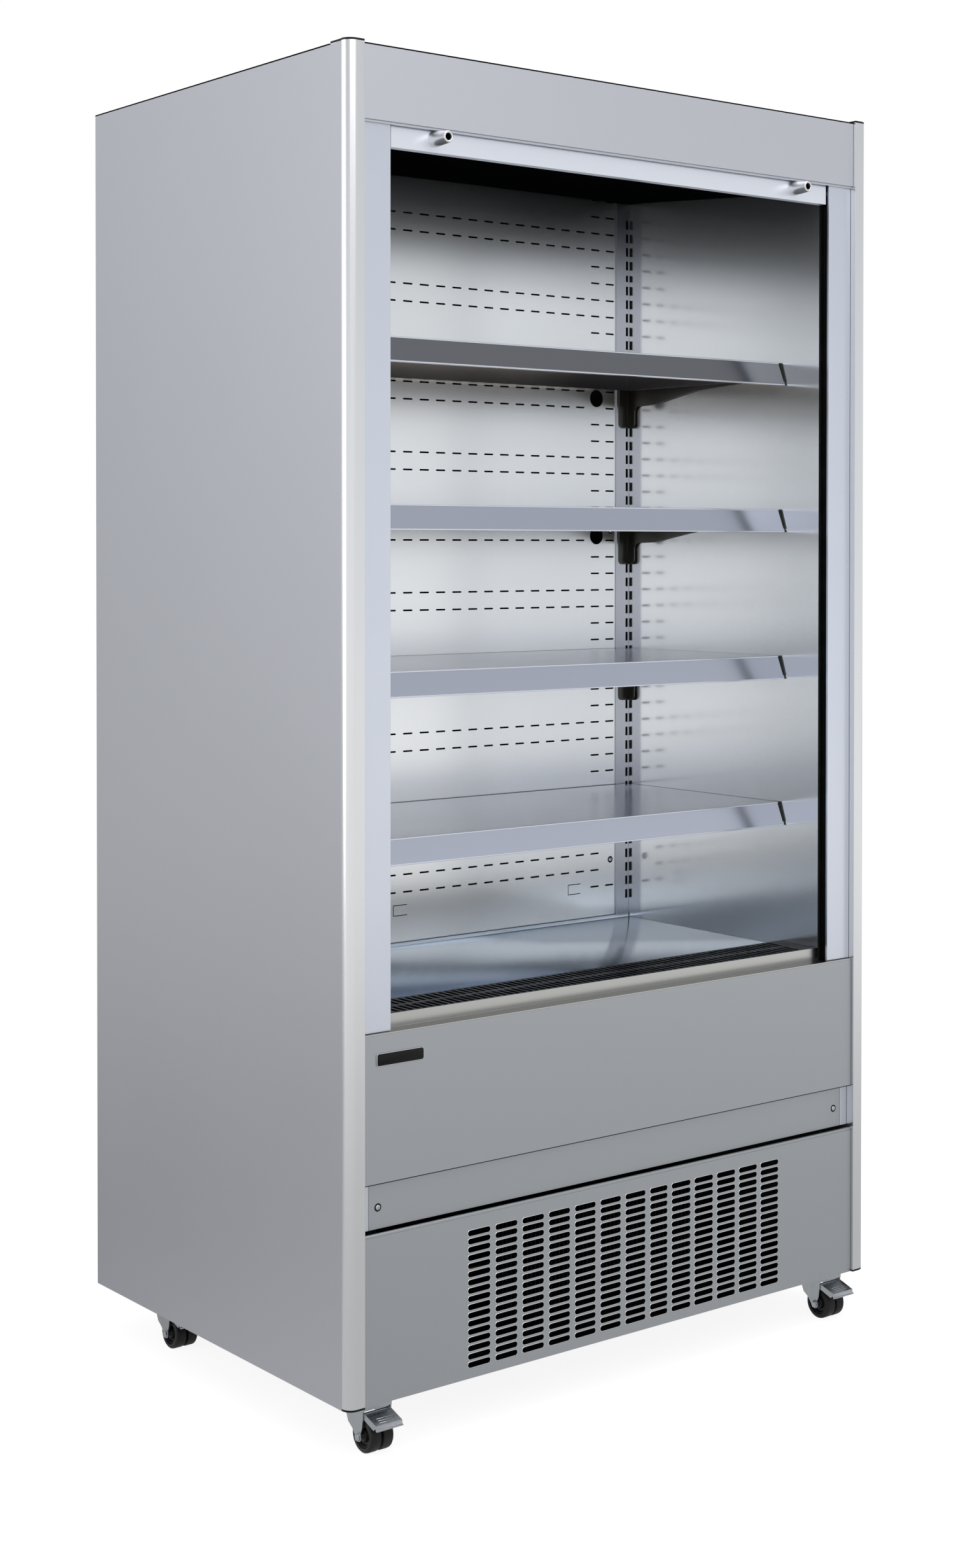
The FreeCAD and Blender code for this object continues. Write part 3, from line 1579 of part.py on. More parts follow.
def make_compressor():
    radius = S.compressor_radius
    foot_z = base_floor
    body_z = foot_z + 14
    can = cylinder("compressor_can", radius, S.compressor_height - 14, compressor_x, compressor_y, body_z)
    domed = doc.addObject("Part::Fillet", "compressor_dome")
    domed.Base = can
    doc.recompute()
    rims = [
        (index + 1, 30.0, 30.0)
        for index, edge in enumerate(can.Shape.Edges)
        if len(edge.Vertexes) == 1 and edge.BoundBox.ZMin > float(body_z) + 1
    ]
    domed.Edges = rims
    base_plate = box(
        "compressor_foot",
        (compressor_x - radius * 1.15, compressor_x + radius * 1.15),
        (compressor_y - radius * 0.8, compressor_y + radius * 0.8),
        (foot_z + 10, body_z + 1),
    )
    pads = []
    for sx in (-1, 1):
        for sy in (-1, 1):
            name = f"compressor_pad_{'l' if sx < 0 else 'r'}{'f' if sy < 0 else 'b'}"
            x = compressor_x + radius * sx
            y = compressor_y + radius * 0.65 * sy
            pads.append(cylinder(name, size(11), size(11), x, y, foot_z))
    stub = cylinder(
        "compressor_stub",
        S.pipe_radius + 1.5,
        size(26),
        compressor_x + radius - 8,
        compressor_y,
        foot_z + 120,
        X_AXIS,
    )
    node(fuse("compressor", [domed, base_plate, stub] + pads), "compressor")


def finned_coil(x, y, z, pitch, tube_rows, tube_lines):
    """A heat exchanger: thin upright fins threaded on straight tubes."""
    x0, x1 = float(x[0]), float(x[1])
    y0, y1 = float(y[0]), float(y[1])
    z0, z1 = float(z[0]), float(z[1])
    count = max(2, int((x1 - x0) / pitch))
    step = (x1 - x0 - 1.0) / count
    fins = [
        Part.makeBox(1.0, y1 - y0, z1 - z0, FreeCAD.Vector(x0 + index * step, y0, z0))
        for index in range(count + 1)
    ]
    tubes = []
    for line in range(tube_lines):
        for row in range(tube_rows):
            y_tube = y0 + (y1 - y0) * (line + 0.5) / tube_lines
            z_tube = z0 + (z1 - z0) * (row + 0.5) / tube_rows
            start = FreeCAD.Vector(x0, y_tube, z_tube)
            tubes.append(Part.makeCylinder(float(S.pipe_radius), x1 - x0, start, X_AXIS))
    return tubes[0].fuse(tubes[1:] + fins)


def make_condenser():
    half = S.condenser_width / 2
    z = (condenser_bottom, condenser_bottom + S.condenser_height)
    core_y = (condenser_front, condenser_back)
    core = feature("condenser_core", finned_coil((-half, half), core_y, z, 8.0, 5, 2))
    shroud_blank = box(
        "condenser_shroud_blank", (-half, half), (condenser_back, fan_plane + 12), z
    )
    shroud_void = box(
        "condenser_shroud_void",
        (-half + 1.5, half - 1.5),
        (condenser_back - 1, fan_plane - 14),
        (z[0] + 1.5, z[1] - 1.5),
    )
    shroud_ring = cylinder(
        "condenser_shroud_ring", S.fan_radius + 4, size(60), 0, fan_plane - 30, fan_axis_z, Y_AXIS
    )
    shroud = cut("condenser_shroud", shroud_blank, [shroud_void, shroud_ring])
    motor = cylinder("fan_motor", S.fan_hub, size(42), 0, fan_plane + 13, fan_axis_z, Y_AXIS)
    shaft = cylinder("fan_motor_shaft", size(4), size(16), 0, fan_plane - 1, fan_axis_z, Y_AXIS)
    strut = box(
        "fan_motor_strut",
        (size(-9), size(9)),
        (fan_plane + 12, fan_plane + 15),
        z,
    )
    node(group("condenser", [core, shroud, fuse("fan_motor_mount", [motor, shaft, strut])]), "condenser")


def make_condenser_fan():
    """Five twisted blades round a hub that turns on the motor's shaft."""
    hub_radius = float(S.fan_hub) - 4
    depth = 18.0
    y = float(fan_plane) - depth / 2 + 1
    centre = FreeCAD.Vector(0, y, float(fan_axis_z))
    hub = Part.makeCylinder(hub_radius, depth, centre, Y_AXIS)
    bore = Part.makeCylinder(4.0 + float(S.moving_gap), depth * 0.7, centre + Y_AXIS * (depth * 0.3), Y_AXIS)
    shape = hub.cut(bore)
    blades = []
    reach = float(S.fan_radius) - hub_radius + 4
    for index in range(FAN_BLADES):
        blade = Part.makeBox(34, 2, reach, FreeCAD.Vector(-17, -1, hub_radius - 4))
        blade.rotate(FreeCAD.Vector(), Z_AXIS, 26)
        blade.rotate(FreeCAD.Vector(), Y_AXIS, 360 / FAN_BLADES * index)
        blade.translate(centre + Y_AXIS * (depth / 2))
        blades.append(blade)
    shape = shape.fuse(blades).removeSplitter()
    node(feature("condenser_fan", shape), "condenser_fan")


def make_evaporator():
    y = (evaporator_front, evaporator_front + S.evaporator_depth)
    plate_z = (well_floor + S.seam_gap, evaporator_bottom + S.evaporator_height)
    core_x = (-half_evaporator, half_evaporator)
    core_z = (evaporator_bottom, evaporator_bottom + S.evaporator_height)
    pieces = [feature("evaporator_core", finned_coil(core_x, y, core_z, 20.0, 6, 2))]
    for side, sign in (("left", -1), ("right", 1)):
        near = half_evaporator * sign
        far = (half_evaporator + S.ledge_sheet) * sign
        x = (near, far) if sign > 0 else (far, near)
        blank = box(f"evaporator_end_{side}_blank", x, y, plate_z)
        hole = cylinder(
            f"evaporator_end_{side}_hole",
            S.blower_shaft + S.moving_gap,
            size(12),
            x[0] - 5,
            blower_y,
            blower_z,
            X_AXIS,
        )
        pieces.append(cut(f"evaporator_end_{side}", blank, [hole]))
    node(fuse("evaporator", pieces), "evaporator")


def make_blower():
    """Cross-flow fan: slim blades between two end discs on one shaft."""
    half = float(half_evaporator) - 6
    radius = float(S.blower_radius)
    axis = FreeCAD.Vector(-half, float(blower_y), float(blower_z))
    discs = [
        Part.makeCylinder(radius, 3, axis, X_AXIS),
        Part.makeCylinder(radius, 3, axis + X_AXIS * (2 * half - 3), X_AXIS),
    ]
    reach = float(half_evaporator) + 8
    start = FreeCAD.Vector(-reach, float(blower_y), float(blower_z))
    shaft = Part.makeCylinder(float(S.blower_shaft), 2 * reach, start, X_AXIS)
    blades = []
    for index in range(BLOWER_BLADES):
        blade = Part.makeBox(2 * half, 1.5, 12, FreeCAD.Vector(-half, -0.75, radius - 13))
        blade.rotate(FreeCAD.Vector(0, 0, radius - 7), X_AXIS, 25)
        blade.rotate(FreeCAD.Vector(), X_AXIS, 360 / BLOWER_BLADES * index)
        blade.translate(FreeCAD.Vector(0, float(blower_y), float(blower_z)))
        blades.append(blade)
    shape = shaft.fuse(discs + blades).removeSplitter()
    node(feature("evaporator_fan", shape), "evaporator_fan")


def make_control_box():
    x = (inlet_place_x - 90, inlet_place_x + 90)
    face = rear_skin_face - S.skin * 2
    y = (face - 90, face - 4)
    z = (base_floor, inlet_place_z + 60)
    case = box("control_case", x, y, z)
    inlet = box(
        "power_inlet_body",
        (inlet_place_x - 24, inlet_place_x + 24),
        (face - 6, rear_skin_face),
        (inlet_place_z - 14, inlet_place_z + 14),
    )
    socket = box(
        "power_inlet_socket",
        (inlet_place_x - 13, inlet_place_x + 13),
        (face - 12, rear_skin_face + 2),
        (inlet_place_z - 9, inlet_place_z + 9),
    )
    node(cut("control_box", fuse("control_box_blank", [case, inlet]), [socket]), "control_box")


def make_pipes():
    """Two copper pipes: discharge to the condenser, and suction from the cold coil."""
    stub_z = float(base_floor) + 120
    cx, cy = float(compressor_x), float(compressor_y)
    radius = float(S.compressor_radius)
    reach = float(S.condenser_width) / 2
    y_condenser = float(condenser_back) - 20
    discharge = [
        FreeCAD.Vector(cx + radius + 18.3, cy, stub_z),
        FreeCAD.Vector(cx + radius + 70, cy, stub_z),
        FreeCAD.Vector(cx + radius + 70, cy - 150, stub_z),
        FreeCAD.Vector(-reach - 45, cy - 150, stub_z),
        FreeCAD.Vector(-reach - 45, y_condenser, stub_z),
        FreeCAD.Vector(-reach - 0.2, y_condenser, stub_z),
    ]
    top_z = float(base_floor + S.compressor_height)
    gap_x = float(suction_pipe_x)
    duct_y = float(blower_y)
    suction = [
        FreeCAD.Vector(cx, cy, top_z + 0.2),
        FreeCAD.Vector(cx, cy, top_z + 60),
        FreeCAD.Vector(gap_x, cy, top_z + 60),
        FreeCAD.Vector(gap_x, duct_y, top_z + 60),
        FreeCAD.Vector(gap_x, duct_y, float(evaporator_bottom) + 90),
        FreeCAD.Vector(-float(half_evaporator + S.ledge_sheet) - 0.2, duct_y, float(evaporator_bottom) + 90),
    ]
    shapes = [tube(route, float(S.pipe_radius), 20.0) for route in (discharge, suction)]
    return suction, shapes


def make_lamp():
    x = (-half_inner + 60, half_inner - 60)
    y = (ceiling_front + 15, ceiling_front + 37)
    high = bottom + S.ceiling_front_height + 1.0
    lamp = box("led_lamp", x, y, (high - 14, high))
    node(lamp, "led_lamp")


# -------------------------------------------------------------------------- build

make_side_panel(-1, "side_panel_left")
make_side_panel(1, "side_panel_right")
make_post(-1, "corner_post_left")
make_post(1, "corner_post_right")
make_post_caps()
make_canopy()
make_top_panel()
make_rear_panel()
make_base_frame()
make_insulation()
make_liner(-1, "liner_left")
make_liner(1, "liner_right")
make_trim(-1, "trim_left")
make_trim(1, "trim_right")
make_blind_guides()
front_pan("upper_front_panel", upper_panel_bottom, upper_panel_top, size(0))
make_louvre_panel()
make_kick_strip()
make_ledge()
make_badge()
make_screws()
make_duct_panels()
make_uprights()
make_ceiling()
make_well_pan()
make_return_grille()
make_base_deck()
for shelf_number in range(1, SHELF_COUNT + 1):
    make_shelf(shelf_number)
make_brackets()
make_blind()
make_castors()
make_compressor()
make_condenser()
make_condenser_fan()
make_evaporator()
make_blower()
make_control_box()
make_lamp()
pipe_route, pipe_shapes = make_pipes()
node(feature("refrigerant_pipes", Part.makeCompound(pipe_shapes)), "refrigerant_pipes")

doc.recompute()

# ------------------------------------------------------------------ check and save

for obj in doc.Objects:
    if "Invalid" in obj.State or "Error" in obj.State:
        raise RuntimeError(f"{obj.Label} did not build: {obj.State}")
for obj in node_objects:
    if obj.Shape.isNull() or not obj.Shape.isValid():
        raise RuntimeError(f"{obj.Label} is not a valid shape")
    if not obj.Shape.Solids:
        raise RuntimeError(f"{obj.Label} holds no solid")
for obj in node_objects:
    obj.Shape.exportStep(f"parts/{obj.Label}.step")
print(len(node_objects), "nodes written")
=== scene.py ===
"""Open multideck display fridge: finishes, fine pieces, studio and camera.

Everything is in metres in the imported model's own frame: +X to the viewer's right,
the open front faces -Y, +Z up, with the floor at zero.
"""

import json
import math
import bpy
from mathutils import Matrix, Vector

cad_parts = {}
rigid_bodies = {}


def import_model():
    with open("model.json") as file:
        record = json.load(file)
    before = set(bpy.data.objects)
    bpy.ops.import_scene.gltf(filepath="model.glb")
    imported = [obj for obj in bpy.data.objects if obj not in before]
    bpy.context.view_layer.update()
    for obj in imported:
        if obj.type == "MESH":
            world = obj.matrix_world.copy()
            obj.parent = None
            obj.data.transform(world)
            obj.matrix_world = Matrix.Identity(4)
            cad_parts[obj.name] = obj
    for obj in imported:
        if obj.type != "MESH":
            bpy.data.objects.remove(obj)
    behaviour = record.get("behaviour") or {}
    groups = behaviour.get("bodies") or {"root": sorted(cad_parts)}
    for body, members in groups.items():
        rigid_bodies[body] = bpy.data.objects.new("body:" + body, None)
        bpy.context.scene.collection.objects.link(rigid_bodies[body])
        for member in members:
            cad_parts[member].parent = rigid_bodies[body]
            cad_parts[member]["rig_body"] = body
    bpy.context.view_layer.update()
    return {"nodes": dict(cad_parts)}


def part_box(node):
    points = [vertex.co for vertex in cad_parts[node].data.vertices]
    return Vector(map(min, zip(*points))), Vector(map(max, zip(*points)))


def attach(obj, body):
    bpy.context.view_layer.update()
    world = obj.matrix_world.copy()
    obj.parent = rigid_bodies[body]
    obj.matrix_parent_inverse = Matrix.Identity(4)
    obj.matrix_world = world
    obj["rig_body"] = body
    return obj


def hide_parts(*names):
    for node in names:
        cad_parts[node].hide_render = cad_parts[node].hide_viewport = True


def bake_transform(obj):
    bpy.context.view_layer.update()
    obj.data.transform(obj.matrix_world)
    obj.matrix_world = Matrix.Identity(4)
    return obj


bl_info = {
    "name": "Open display fridge",
    "version": (1, 0, 0),
    "blender": (4, 5, 0),
    "location": "View3D > Sidebar > Fridge",
    "description": "Dresses an open multideck display fridge and lights it in a pale studio",
    "category": "Object",
}

import bmesh
import bpy
from bpy.props import FloatProperty, FloatVectorProperty, IntProperty, PointerProperty
from mathutils import Matrix, Vector

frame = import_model()

SIDES = ("left", "right")
CASTORS = ("front_left", "front_right", "rear_left", "rear_right")
SHELVES = ("shelf_1", "shelf_2", "shelf_3", "shelf_4")


def linear(hex_colour):
    """The linear values of a colour written as a picture's own #RRGGBB."""
    values = [int(hex_colour[i:i + 2], 16) / 255 for i in (1, 3, 5)]
    return tuple(v / 12.92 if v <= 0.04045 else ((v + 0.055) / 1.055) ** 2.4 for v in values)


def colour(label, what, hex_colour):
    return FloatVectorProperty(
        name=label, description=what, subtype="COLOR", size=3, min=0.0, max=1.0,
        default=linear(hex_colour),
    )


def length(label, what, value):
    return FloatProperty(name=label, description=what, default=value, unit="LENGTH", min=0.0)


# ---------------------------------------------------------------- what a user may change


class FridgeColours(bpy.types.PropertyGroup):
    case: colour("Case", "Satin silver-grey sheet of the sides", "#BCBEC4")
    canopy: colour("Canopy", "Satin sheet of the canopy panel", "#CED0D7")
    # Front: the sheet's own grey, and partly painted shade, set lower than the case sheet for the
    # dimmer light on the lower front.
    front: colour("Front", "Satin grey sheet of the lower front", "#B3B7BB")
    post: colour("Posts", "Anodised corner posts", "#E3E4E6")
    # The trim colour also paints the price rails' rolled lips brighter, as painted highlight.
    trim: colour("Trims", "Bright strips beside the opening and the ledge", "#D9DEE9")
    steel: colour("Interior", "Stainless liners and back panels", "#F1F3F5")
    deck: colour("Deck", "Stainless deck and well", "#DAE4F0")
    rail: colour("Rails", "Price rails and shelf trays", "#C2C7D6")
    # Painted shade: the top shelf's rail and tray, a darker copy of the shelf steel.
    top_rail: colour("Top rail", "Price rail and tray of the top shelf", "#7F8187")
    # Painted shade and painted reflection: a dark brownish tone on the shelves' down-facing faces.
    under: colour("Shelf underside", "Down-facing faces of the shelves", "#B39A70")
    ledge: colour("Ledge", "Brushed step below the opening", "#C6C6C3")
    # Painted shade: the ledge steel made darker on its up-facing faces.
    ledge_top: colour("Ledge top", "Up-facing faces of the ledge", "#929290")
    bracket: colour("Brackets", "Shelf brackets", "#5A5A56")
    upright: colour("Uprights", "Slotted channels in the back corners", "#BDC0C8")
    bar: colour("Pull bar", "Anodised bar of the night blind", "#F0F4FD")
    bright: colour("Bright metal", "Handles, screws and small turned pieces", "#C9CBD0")
    black: colour("Black parts", "Ceiling, roof sheet, guides and end caps", "#0C0D0E")
    grille: colour("Grille", "Moulded return air grille", "#101012")
    rubber: colour("Wheels", "Castor tyres and hubs", "#141415")
    zinc: colour("Zinc", "Zinc-plated castor and rear sheet metal", "#BCC0C4")
    cloth: colour("Cloth", "Aluminised cloth of the night blind", "#B9BEC6")
    # Painted shade: the insulation is made dark grey so that the gaps it shows through read as
    # black.
    foam: colour("Foam", "Dark facing of the insulation", "#3A3B3A")
    copper: colour("Copper", "Refrigerant pipes", "#B5724A")
    lamp: colour("Lamp", "Frosted diffuser of the lamp", "#EEF0F2")


class FridgeDetails(bpy.types.PropertyGroup):
    fold: length("Fold radius", "Rounding of folded sheet edges", 0.0008)
    edge: length("Edge radius", "Rounding of cut sheet edges", 0.00035)
    rim_width: length("Louvre rim", "Width of the pressed rim round each louvre slot", 0.0008)
    rim_height: length("Rim height", "How far a louvre rim stands out of the panel", 0.0004)
    lip: length("Rail lip", "Half height of the rolled lips of a price rail", 0.0011)
    badge_rim: length("Badge rim", "Width of the plate's bright border", 0.0010)
    cloth_thickness: length("Cloth thickness", "Thickness of the blind's cloth", 0.00025)
    turned_steps: IntProperty(
        name="Turned steps", description="Steps round each turned piece", default=40, min=8, max=96
    )


class FridgeStudio(bpy.types.PropertyGroup):
    eye: FloatVectorProperty(
        name="Camera place", description="Where the camera stands", subtype="XYZ", unit="LENGTH",
        size=3, default=(-2.3605, -2.9988, 1.2998),
    )
    yaw: FloatProperty(name="Yaw", description="Turn to the right of +Y", unit="ROTATION",
                       default=math.radians(37.945))
    pitch: FloatProperty(name="Pitch", description="Tilt above level", unit="ROTATION",
                         default=math.radians(-0.807))
    roll: FloatProperty(name="Roll", description="Roll of the camera", unit="ROTATION",
                        default=math.radians(-0.02))
    lens: FloatProperty(name="Lens", description="Focal length on a 36 mm frame height",
                        subtype="DISTANCE_CAMERA", default=52.5)
    rise: FloatProperty(name="Shift", description="Upright shift of the lens", default=-0.131)
    ambient: FloatProperty(name="Ambient", description="Level of the light from all round",
                           default=0.62, min=0.0)
    key: FloatProperty(name="Key", description="Power of the large light in front",
                       unit="POWER", default=60.0, min=0.0)
    side: FloatProperty(name="Side", description="Power of the light at the left",
                        unit="POWER", default=45.0, min=0.0)
    top: FloatProperty(name="Top", description="Power of the light overhead",
                       unit="POWER", default=40.0, min=0.0)


# ------------------------------------------------------------------------ shader groups


def new_group(name, inputs, outputs):
    """A shader group from (kind, name, default) in and (kind, name) out, with its two ends."""
    tree = bpy.data.node_groups.new(name, "ShaderNodeTree")
    for kind, label, default in inputs:
        socket = tree.interface.new_socket(label, in_out="INPUT", socket_type="NodeSocket" + kind)
        socket.default_value = default
    for kind, label in outputs:
        tree.interface.new_socket(label, in_out="OUTPUT", socket_type="NodeSocket" + kind)
    return tree, tree.nodes.new("NodeGroupInput").outputs, tree.nodes.new("NodeGroupOutput")


def feed(tree, node, values):
    """Sets or links a node's inputs, each given by its name or its number."""
    for key, value in values.items():
        socket = node.inputs[int(key) if key.isdigit() else key.replace("_", " ")]
        if isinstance(value, bpy.types.NodeSocket):
            tree.links.new(value, socket)
        else:
            socket.default_value = value


def put(tree, kind, **settings):
    """A node with its settings; a key that starts with in_ sets or links that input."""
    added = tree.nodes.new("ShaderNode" + kind)
    values = {}
    for key, value in settings.items():
        if key.startswith("in_"):
            values[key[3:]] = value
        else:
            setattr(added, key, value)
    feed(tree, added, values)
    return added


def maths(tree, operation, first, second=0.0):
    return put(tree, "Math", operation=operation, in_0=first, in_1=second).outputs[0]


def blend_colour(tree, factor, first, second):
    return put(tree, "Mix", data_type="RGBA", in_0=factor, in_6=first, in_7=second).outputs[2]


def ramp(tree, value, start, end, first=0.0, last=1.0, kind="LINEAR"):
    """Goes from the first result to the last as the value goes from start to end."""
    return put(tree, "MapRange", interpolation_type=kind, in_0=value, in_1=start, in_2=end,
               in_3=first, in_4=last).outputs[0]


def on_piece(tree):
    return put(tree, "TexCoord").outputs["Object"]


def cloud(tree, where, scale, detail, **more):
    return put(tree, "TexNoise", in_Vector=where, in_Scale=scale, in_Detail=detail,
               **more).outputs[0]


def metal_grain():
    """Fine lines or specks drawn out along one direction of the piece."""
    tree, given, result = new_group(
        "Metal grain",
        [("Color", "Colour", (1, 1, 1, 1)), ("Color", "Shade", (0, 0, 0, 1)),
         ("Vector", "Stretch", (1, 1, 1)), ("Float", "Scale", 400.0),
         ("Float", "Contrast", 0.3), ("Float", "Roughness", 0.3), ("Float", "Spread", 0.1)],
        [("Color", "Colour"), ("Float", "Roughness"), ("Float", "Height")],
    )
    drawn = put(tree, "VectorMath", operation="MULTIPLY", in_0=on_piece(tree),
                in_1=given["Stretch"]).outputs[0]
    fine = cloud(tree, drawn, given["Scale"], 3.0, in_Roughness=0.6)
    broad = cloud(tree, drawn, maths(tree, "MULTIPLY", given["Scale"], 0.09), 2.0)
    mask = maths(tree, "ADD", maths(tree, "MULTIPLY", fine, 0.7),
                 maths(tree, "MULTIPLY", broad, 0.3))
    shown = maths(tree, "MULTIPLY", mask, given["Contrast"])
    centred = maths(tree, "SUBTRACT", mask, 0.5)
    uneven = maths(tree, "MULTIPLY", centred, given["Spread"])
    feed(tree, result, {
        "Colour": blend_colour(tree, shown, given["Colour"], given["Shade"]),
        "Roughness": maths(tree, "ADD", given["Roughness"], uneven), "Height": mask})
    return tree


def handling_marks():
    """Soft cloudy patches where hands and cloths have dulled the surface."""
    tree, given, result = new_group(
        "Handling marks",
        [("Float", "Roughness", 0.3), ("Float", "Amount", 0.05), ("Float", "Scale", 6.0)],
        [("Float", "Roughness")],
    )
    patch = ramp(tree, cloud(tree, on_piece(tree), given["Scale"], 4.0, in_Roughness=0.65,
                             in_Distortion=0.6), 0.42, 0.68)
    added = maths(tree, "MULTIPLY", patch, given["Amount"])
    feed(tree, result, {"Roughness": maths(tree, "ADD", given["Roughness"], added)})
    return tree


def moulded_grain():
    """The leathery pebble of a moulded or powder-coated face."""
    tree, given, result = new_group(
        "Moulded grain",
        [("Color", "Colour", (0, 0, 0, 1)), ("Color", "Dust", (0.2, 0.2, 0.2, 1)),
         ("Float", "Scale", 900.0), ("Float", "Dust amount", 0.15)],
        [("Color", "Colour"), ("Float", "Height")],
    )
    where = on_piece(tree)
    cells = put(tree, "TexVoronoi", in_Vector=where, in_Scale=given["Scale"]).outputs[0]
    patch = ramp(tree, cloud(tree, where, 35.0, 5.0), 0.5, 0.8)
    dusty = maths(tree, "MULTIPLY", patch, given["Dust amount"])
    feed(tree, result, {"Colour": blend_colour(tree, dusty, given["Colour"], given["Dust"]),
                        "Height": cells})
    return tree


def worn_edges():
    """Bare bright edges and darker hollows, from how sharply the surface turns."""
    tree, given, result = new_group(
        "Worn edges",
        [("Color", "Colour", (1, 1, 1, 1)), ("Color", "Bare", (1, 1, 1, 1)),
         ("Color", "Grime", (0, 0, 0, 1)), ("Float", "Wear", 0.5), ("Float", "Soil", 0.3)],
        [("Color", "Colour")],
    )
    turn = put(tree, "NewGeometry").outputs["Pointiness"]
    patchy = cloud(tree, on_piece(tree), 160.0, 4.0)
    edge = maths(tree, "MULTIPLY", ramp(tree, turn, 0.52, 0.6), patchy)
    worn = maths(tree, "MULTIPLY", edge, given["Wear"])
    # Concave places are darkened towards a darker copy of the colour.
    darkened = maths(tree, "MULTIPLY", ramp(tree, turn, 0.48, 0.4), given["Soil"])
    bare = blend_colour(tree, worn, given["Colour"], given["Bare"])
    feed(tree, result, {"Colour": blend_colour(tree, darkened, bare, given["Grime"])})
    return tree


def plain_weave():
    """Threads that cross over and under each other."""
    tree, given, result = new_group(
        "Plain weave",
        [("Color", "Colour", (1, 1, 1, 1)), ("Color", "Shade", (0, 0, 0, 1)),
         ("Float", "Threads", 900.0)],
        [("Color", "Colour"), ("Float", "Height")],
    )
    parts = put(tree, "SeparateXYZ", in_0=on_piece(tree)).outputs
    up = maths(tree, "ADD", parts["Z"], parts["Y"])
    along, across = [maths(tree, "SINE", maths(tree, "MULTIPLY", way, given["Threads"]))
                     for way in (parts["X"], up)]
    crossed = maths(tree, "MULTIPLY", along, across)
    mask = maths(tree, "ADD", maths(tree, "MULTIPLY", crossed, 0.5), 0.5)
    feed(tree, result, {"Colour": blend_colour(tree, mask, given["Colour"], given["Shade"]),
                        "Height": mask})
    return tree


GROUPS = {"Metal grain": metal_grain, "Handling marks": handling_marks,
          "Moulded grain": moulded_grain, "Worn edges": worn_edges, "Plain weave": plain_weave}


def shared(tree, label, **inputs):
    """The outputs of one of the shared groups, placed in a material with its own values."""
    group = bpy.data.node_groups.get(label) or GROUPS[label]()
    return put(tree, "Group", node_tree=group, **inputs).outputs


# ---------------------------------------------------------------------------- materials

BUMP_DEPTH = 0.0002
CLOTH_DEPTH = 0.0003


def blank_material(name):
    made = bpy.data.materials.new(name)
    made.use_nodes = True
    return made, made.node_tree, made.node_tree.nodes["Principled BSDF"]


def tone(rgb, amount=1.0):
    return tuple(max(0.0, min(1.0, c * amount)) for c in rgb) + (1.0,)


def surface(tree, shader, colour, height, roughness, marks, bump, depth=BUMP_DEPTH, **more):
    """Colour, bump and roughness with handling marks, whose amount and scale are given."""
    dulled = shared(tree, "Handling marks", in_Roughness=roughness, in_Amount=marks[0],
                    in_Scale=marks[1])
    raised = put(tree, "Bump", in_Strength=bump, in_Distance=depth, in_Height=height)
    feed(tree, shader, {"Base Color": colour, "Roughness": dulled["Roughness"],
                        "Normal": raised.outputs[0], **more})


def metal_finish(tree, shader, rgb, metallic, roughness, stretch, scale, contrast, spread, bump,
                 marks, marks_scale):
    """Sheet or bar metal with a drawn grain, cloudy handling marks and a fine bump."""
    grain = shared(tree, "Metal grain", in_Colour=tone(rgb), in_Shade=tone(rgb, 0.8),
                   in_Stretch=stretch, in_Scale=scale, in_Contrast=contrast,
                   in_Roughness=roughness, in_Spread=spread)
    surface(tree, shader, grain["Colour"], grain["Height"], grain["Roughness"],
            (marks, marks_scale), bump, Metallic=metallic)


def moulded_finish(tree, shader, rgb, roughness, scale, bump, dust, gloss):
    """Moulded plastic, rubber or powder coat with a fine pebble and a little dust."""
    pebble = shared(tree, "Moulded grain", in_Colour=tone(rgb), in_Dust=(0.16, 0.16, 0.16, 1.0),
                    in_Scale=scale, in_Dust_amount=dust)
    surface(tree, shader, pebble["Colour"], pebble["Height"], roughness, (0.12, 30.0), bump,
            Specular_IOR_Level=gloss)


def worn_finish(tree, shader, rgb, roughness, wear, soil):
    """Plated metal with brighter worn edges and darker hollows."""
    grain = shared(tree, "Metal grain", in_Colour=tone(rgb), in_Shade=tone(rgb, 0.7),
                   in_Stretch=EVEN, in_Scale=700.0, in_Contrast=0.35, in_Roughness=roughness,
                   in_Spread=0.15)
    edges = shared(tree, "Worn edges", in_Colour=grain["Colour"], in_Bare=tone(rgb, 1.25),
                   in_Grime=tone(rgb, 0.25), in_Wear=wear, in_Soil=soil)
    surface(tree, shader, edges["Colour"], grain["Height"], grain["Roughness"], (0.12, 60.0),
            0.08, Metallic=1.0)


def cloth_finish(tree, shader, rgb):
    """Woven cloth with a metallic coat."""
    weave = shared(tree, "Plain weave", in_Colour=tone(rgb), in_Shade=tone(rgb, 0.6),
                   in_Threads=2600.0)
    surface(tree, shader, weave["Colour"], weave["Height"], 0.45, (0.15, 12.0), 0.4, CLOTH_DEPTH,
            Metallic=0.4)


# How far the grain is drawn out: a small share along an axis gives lines along that axis.
UPRIGHT, LEVEL, DEEP = (1.0, 1.0, 0.02), (0.02, 1.0, 1.0), (1.0, 0.02, 1.0)
EVEN = (1.0, 1.0, 1.0)

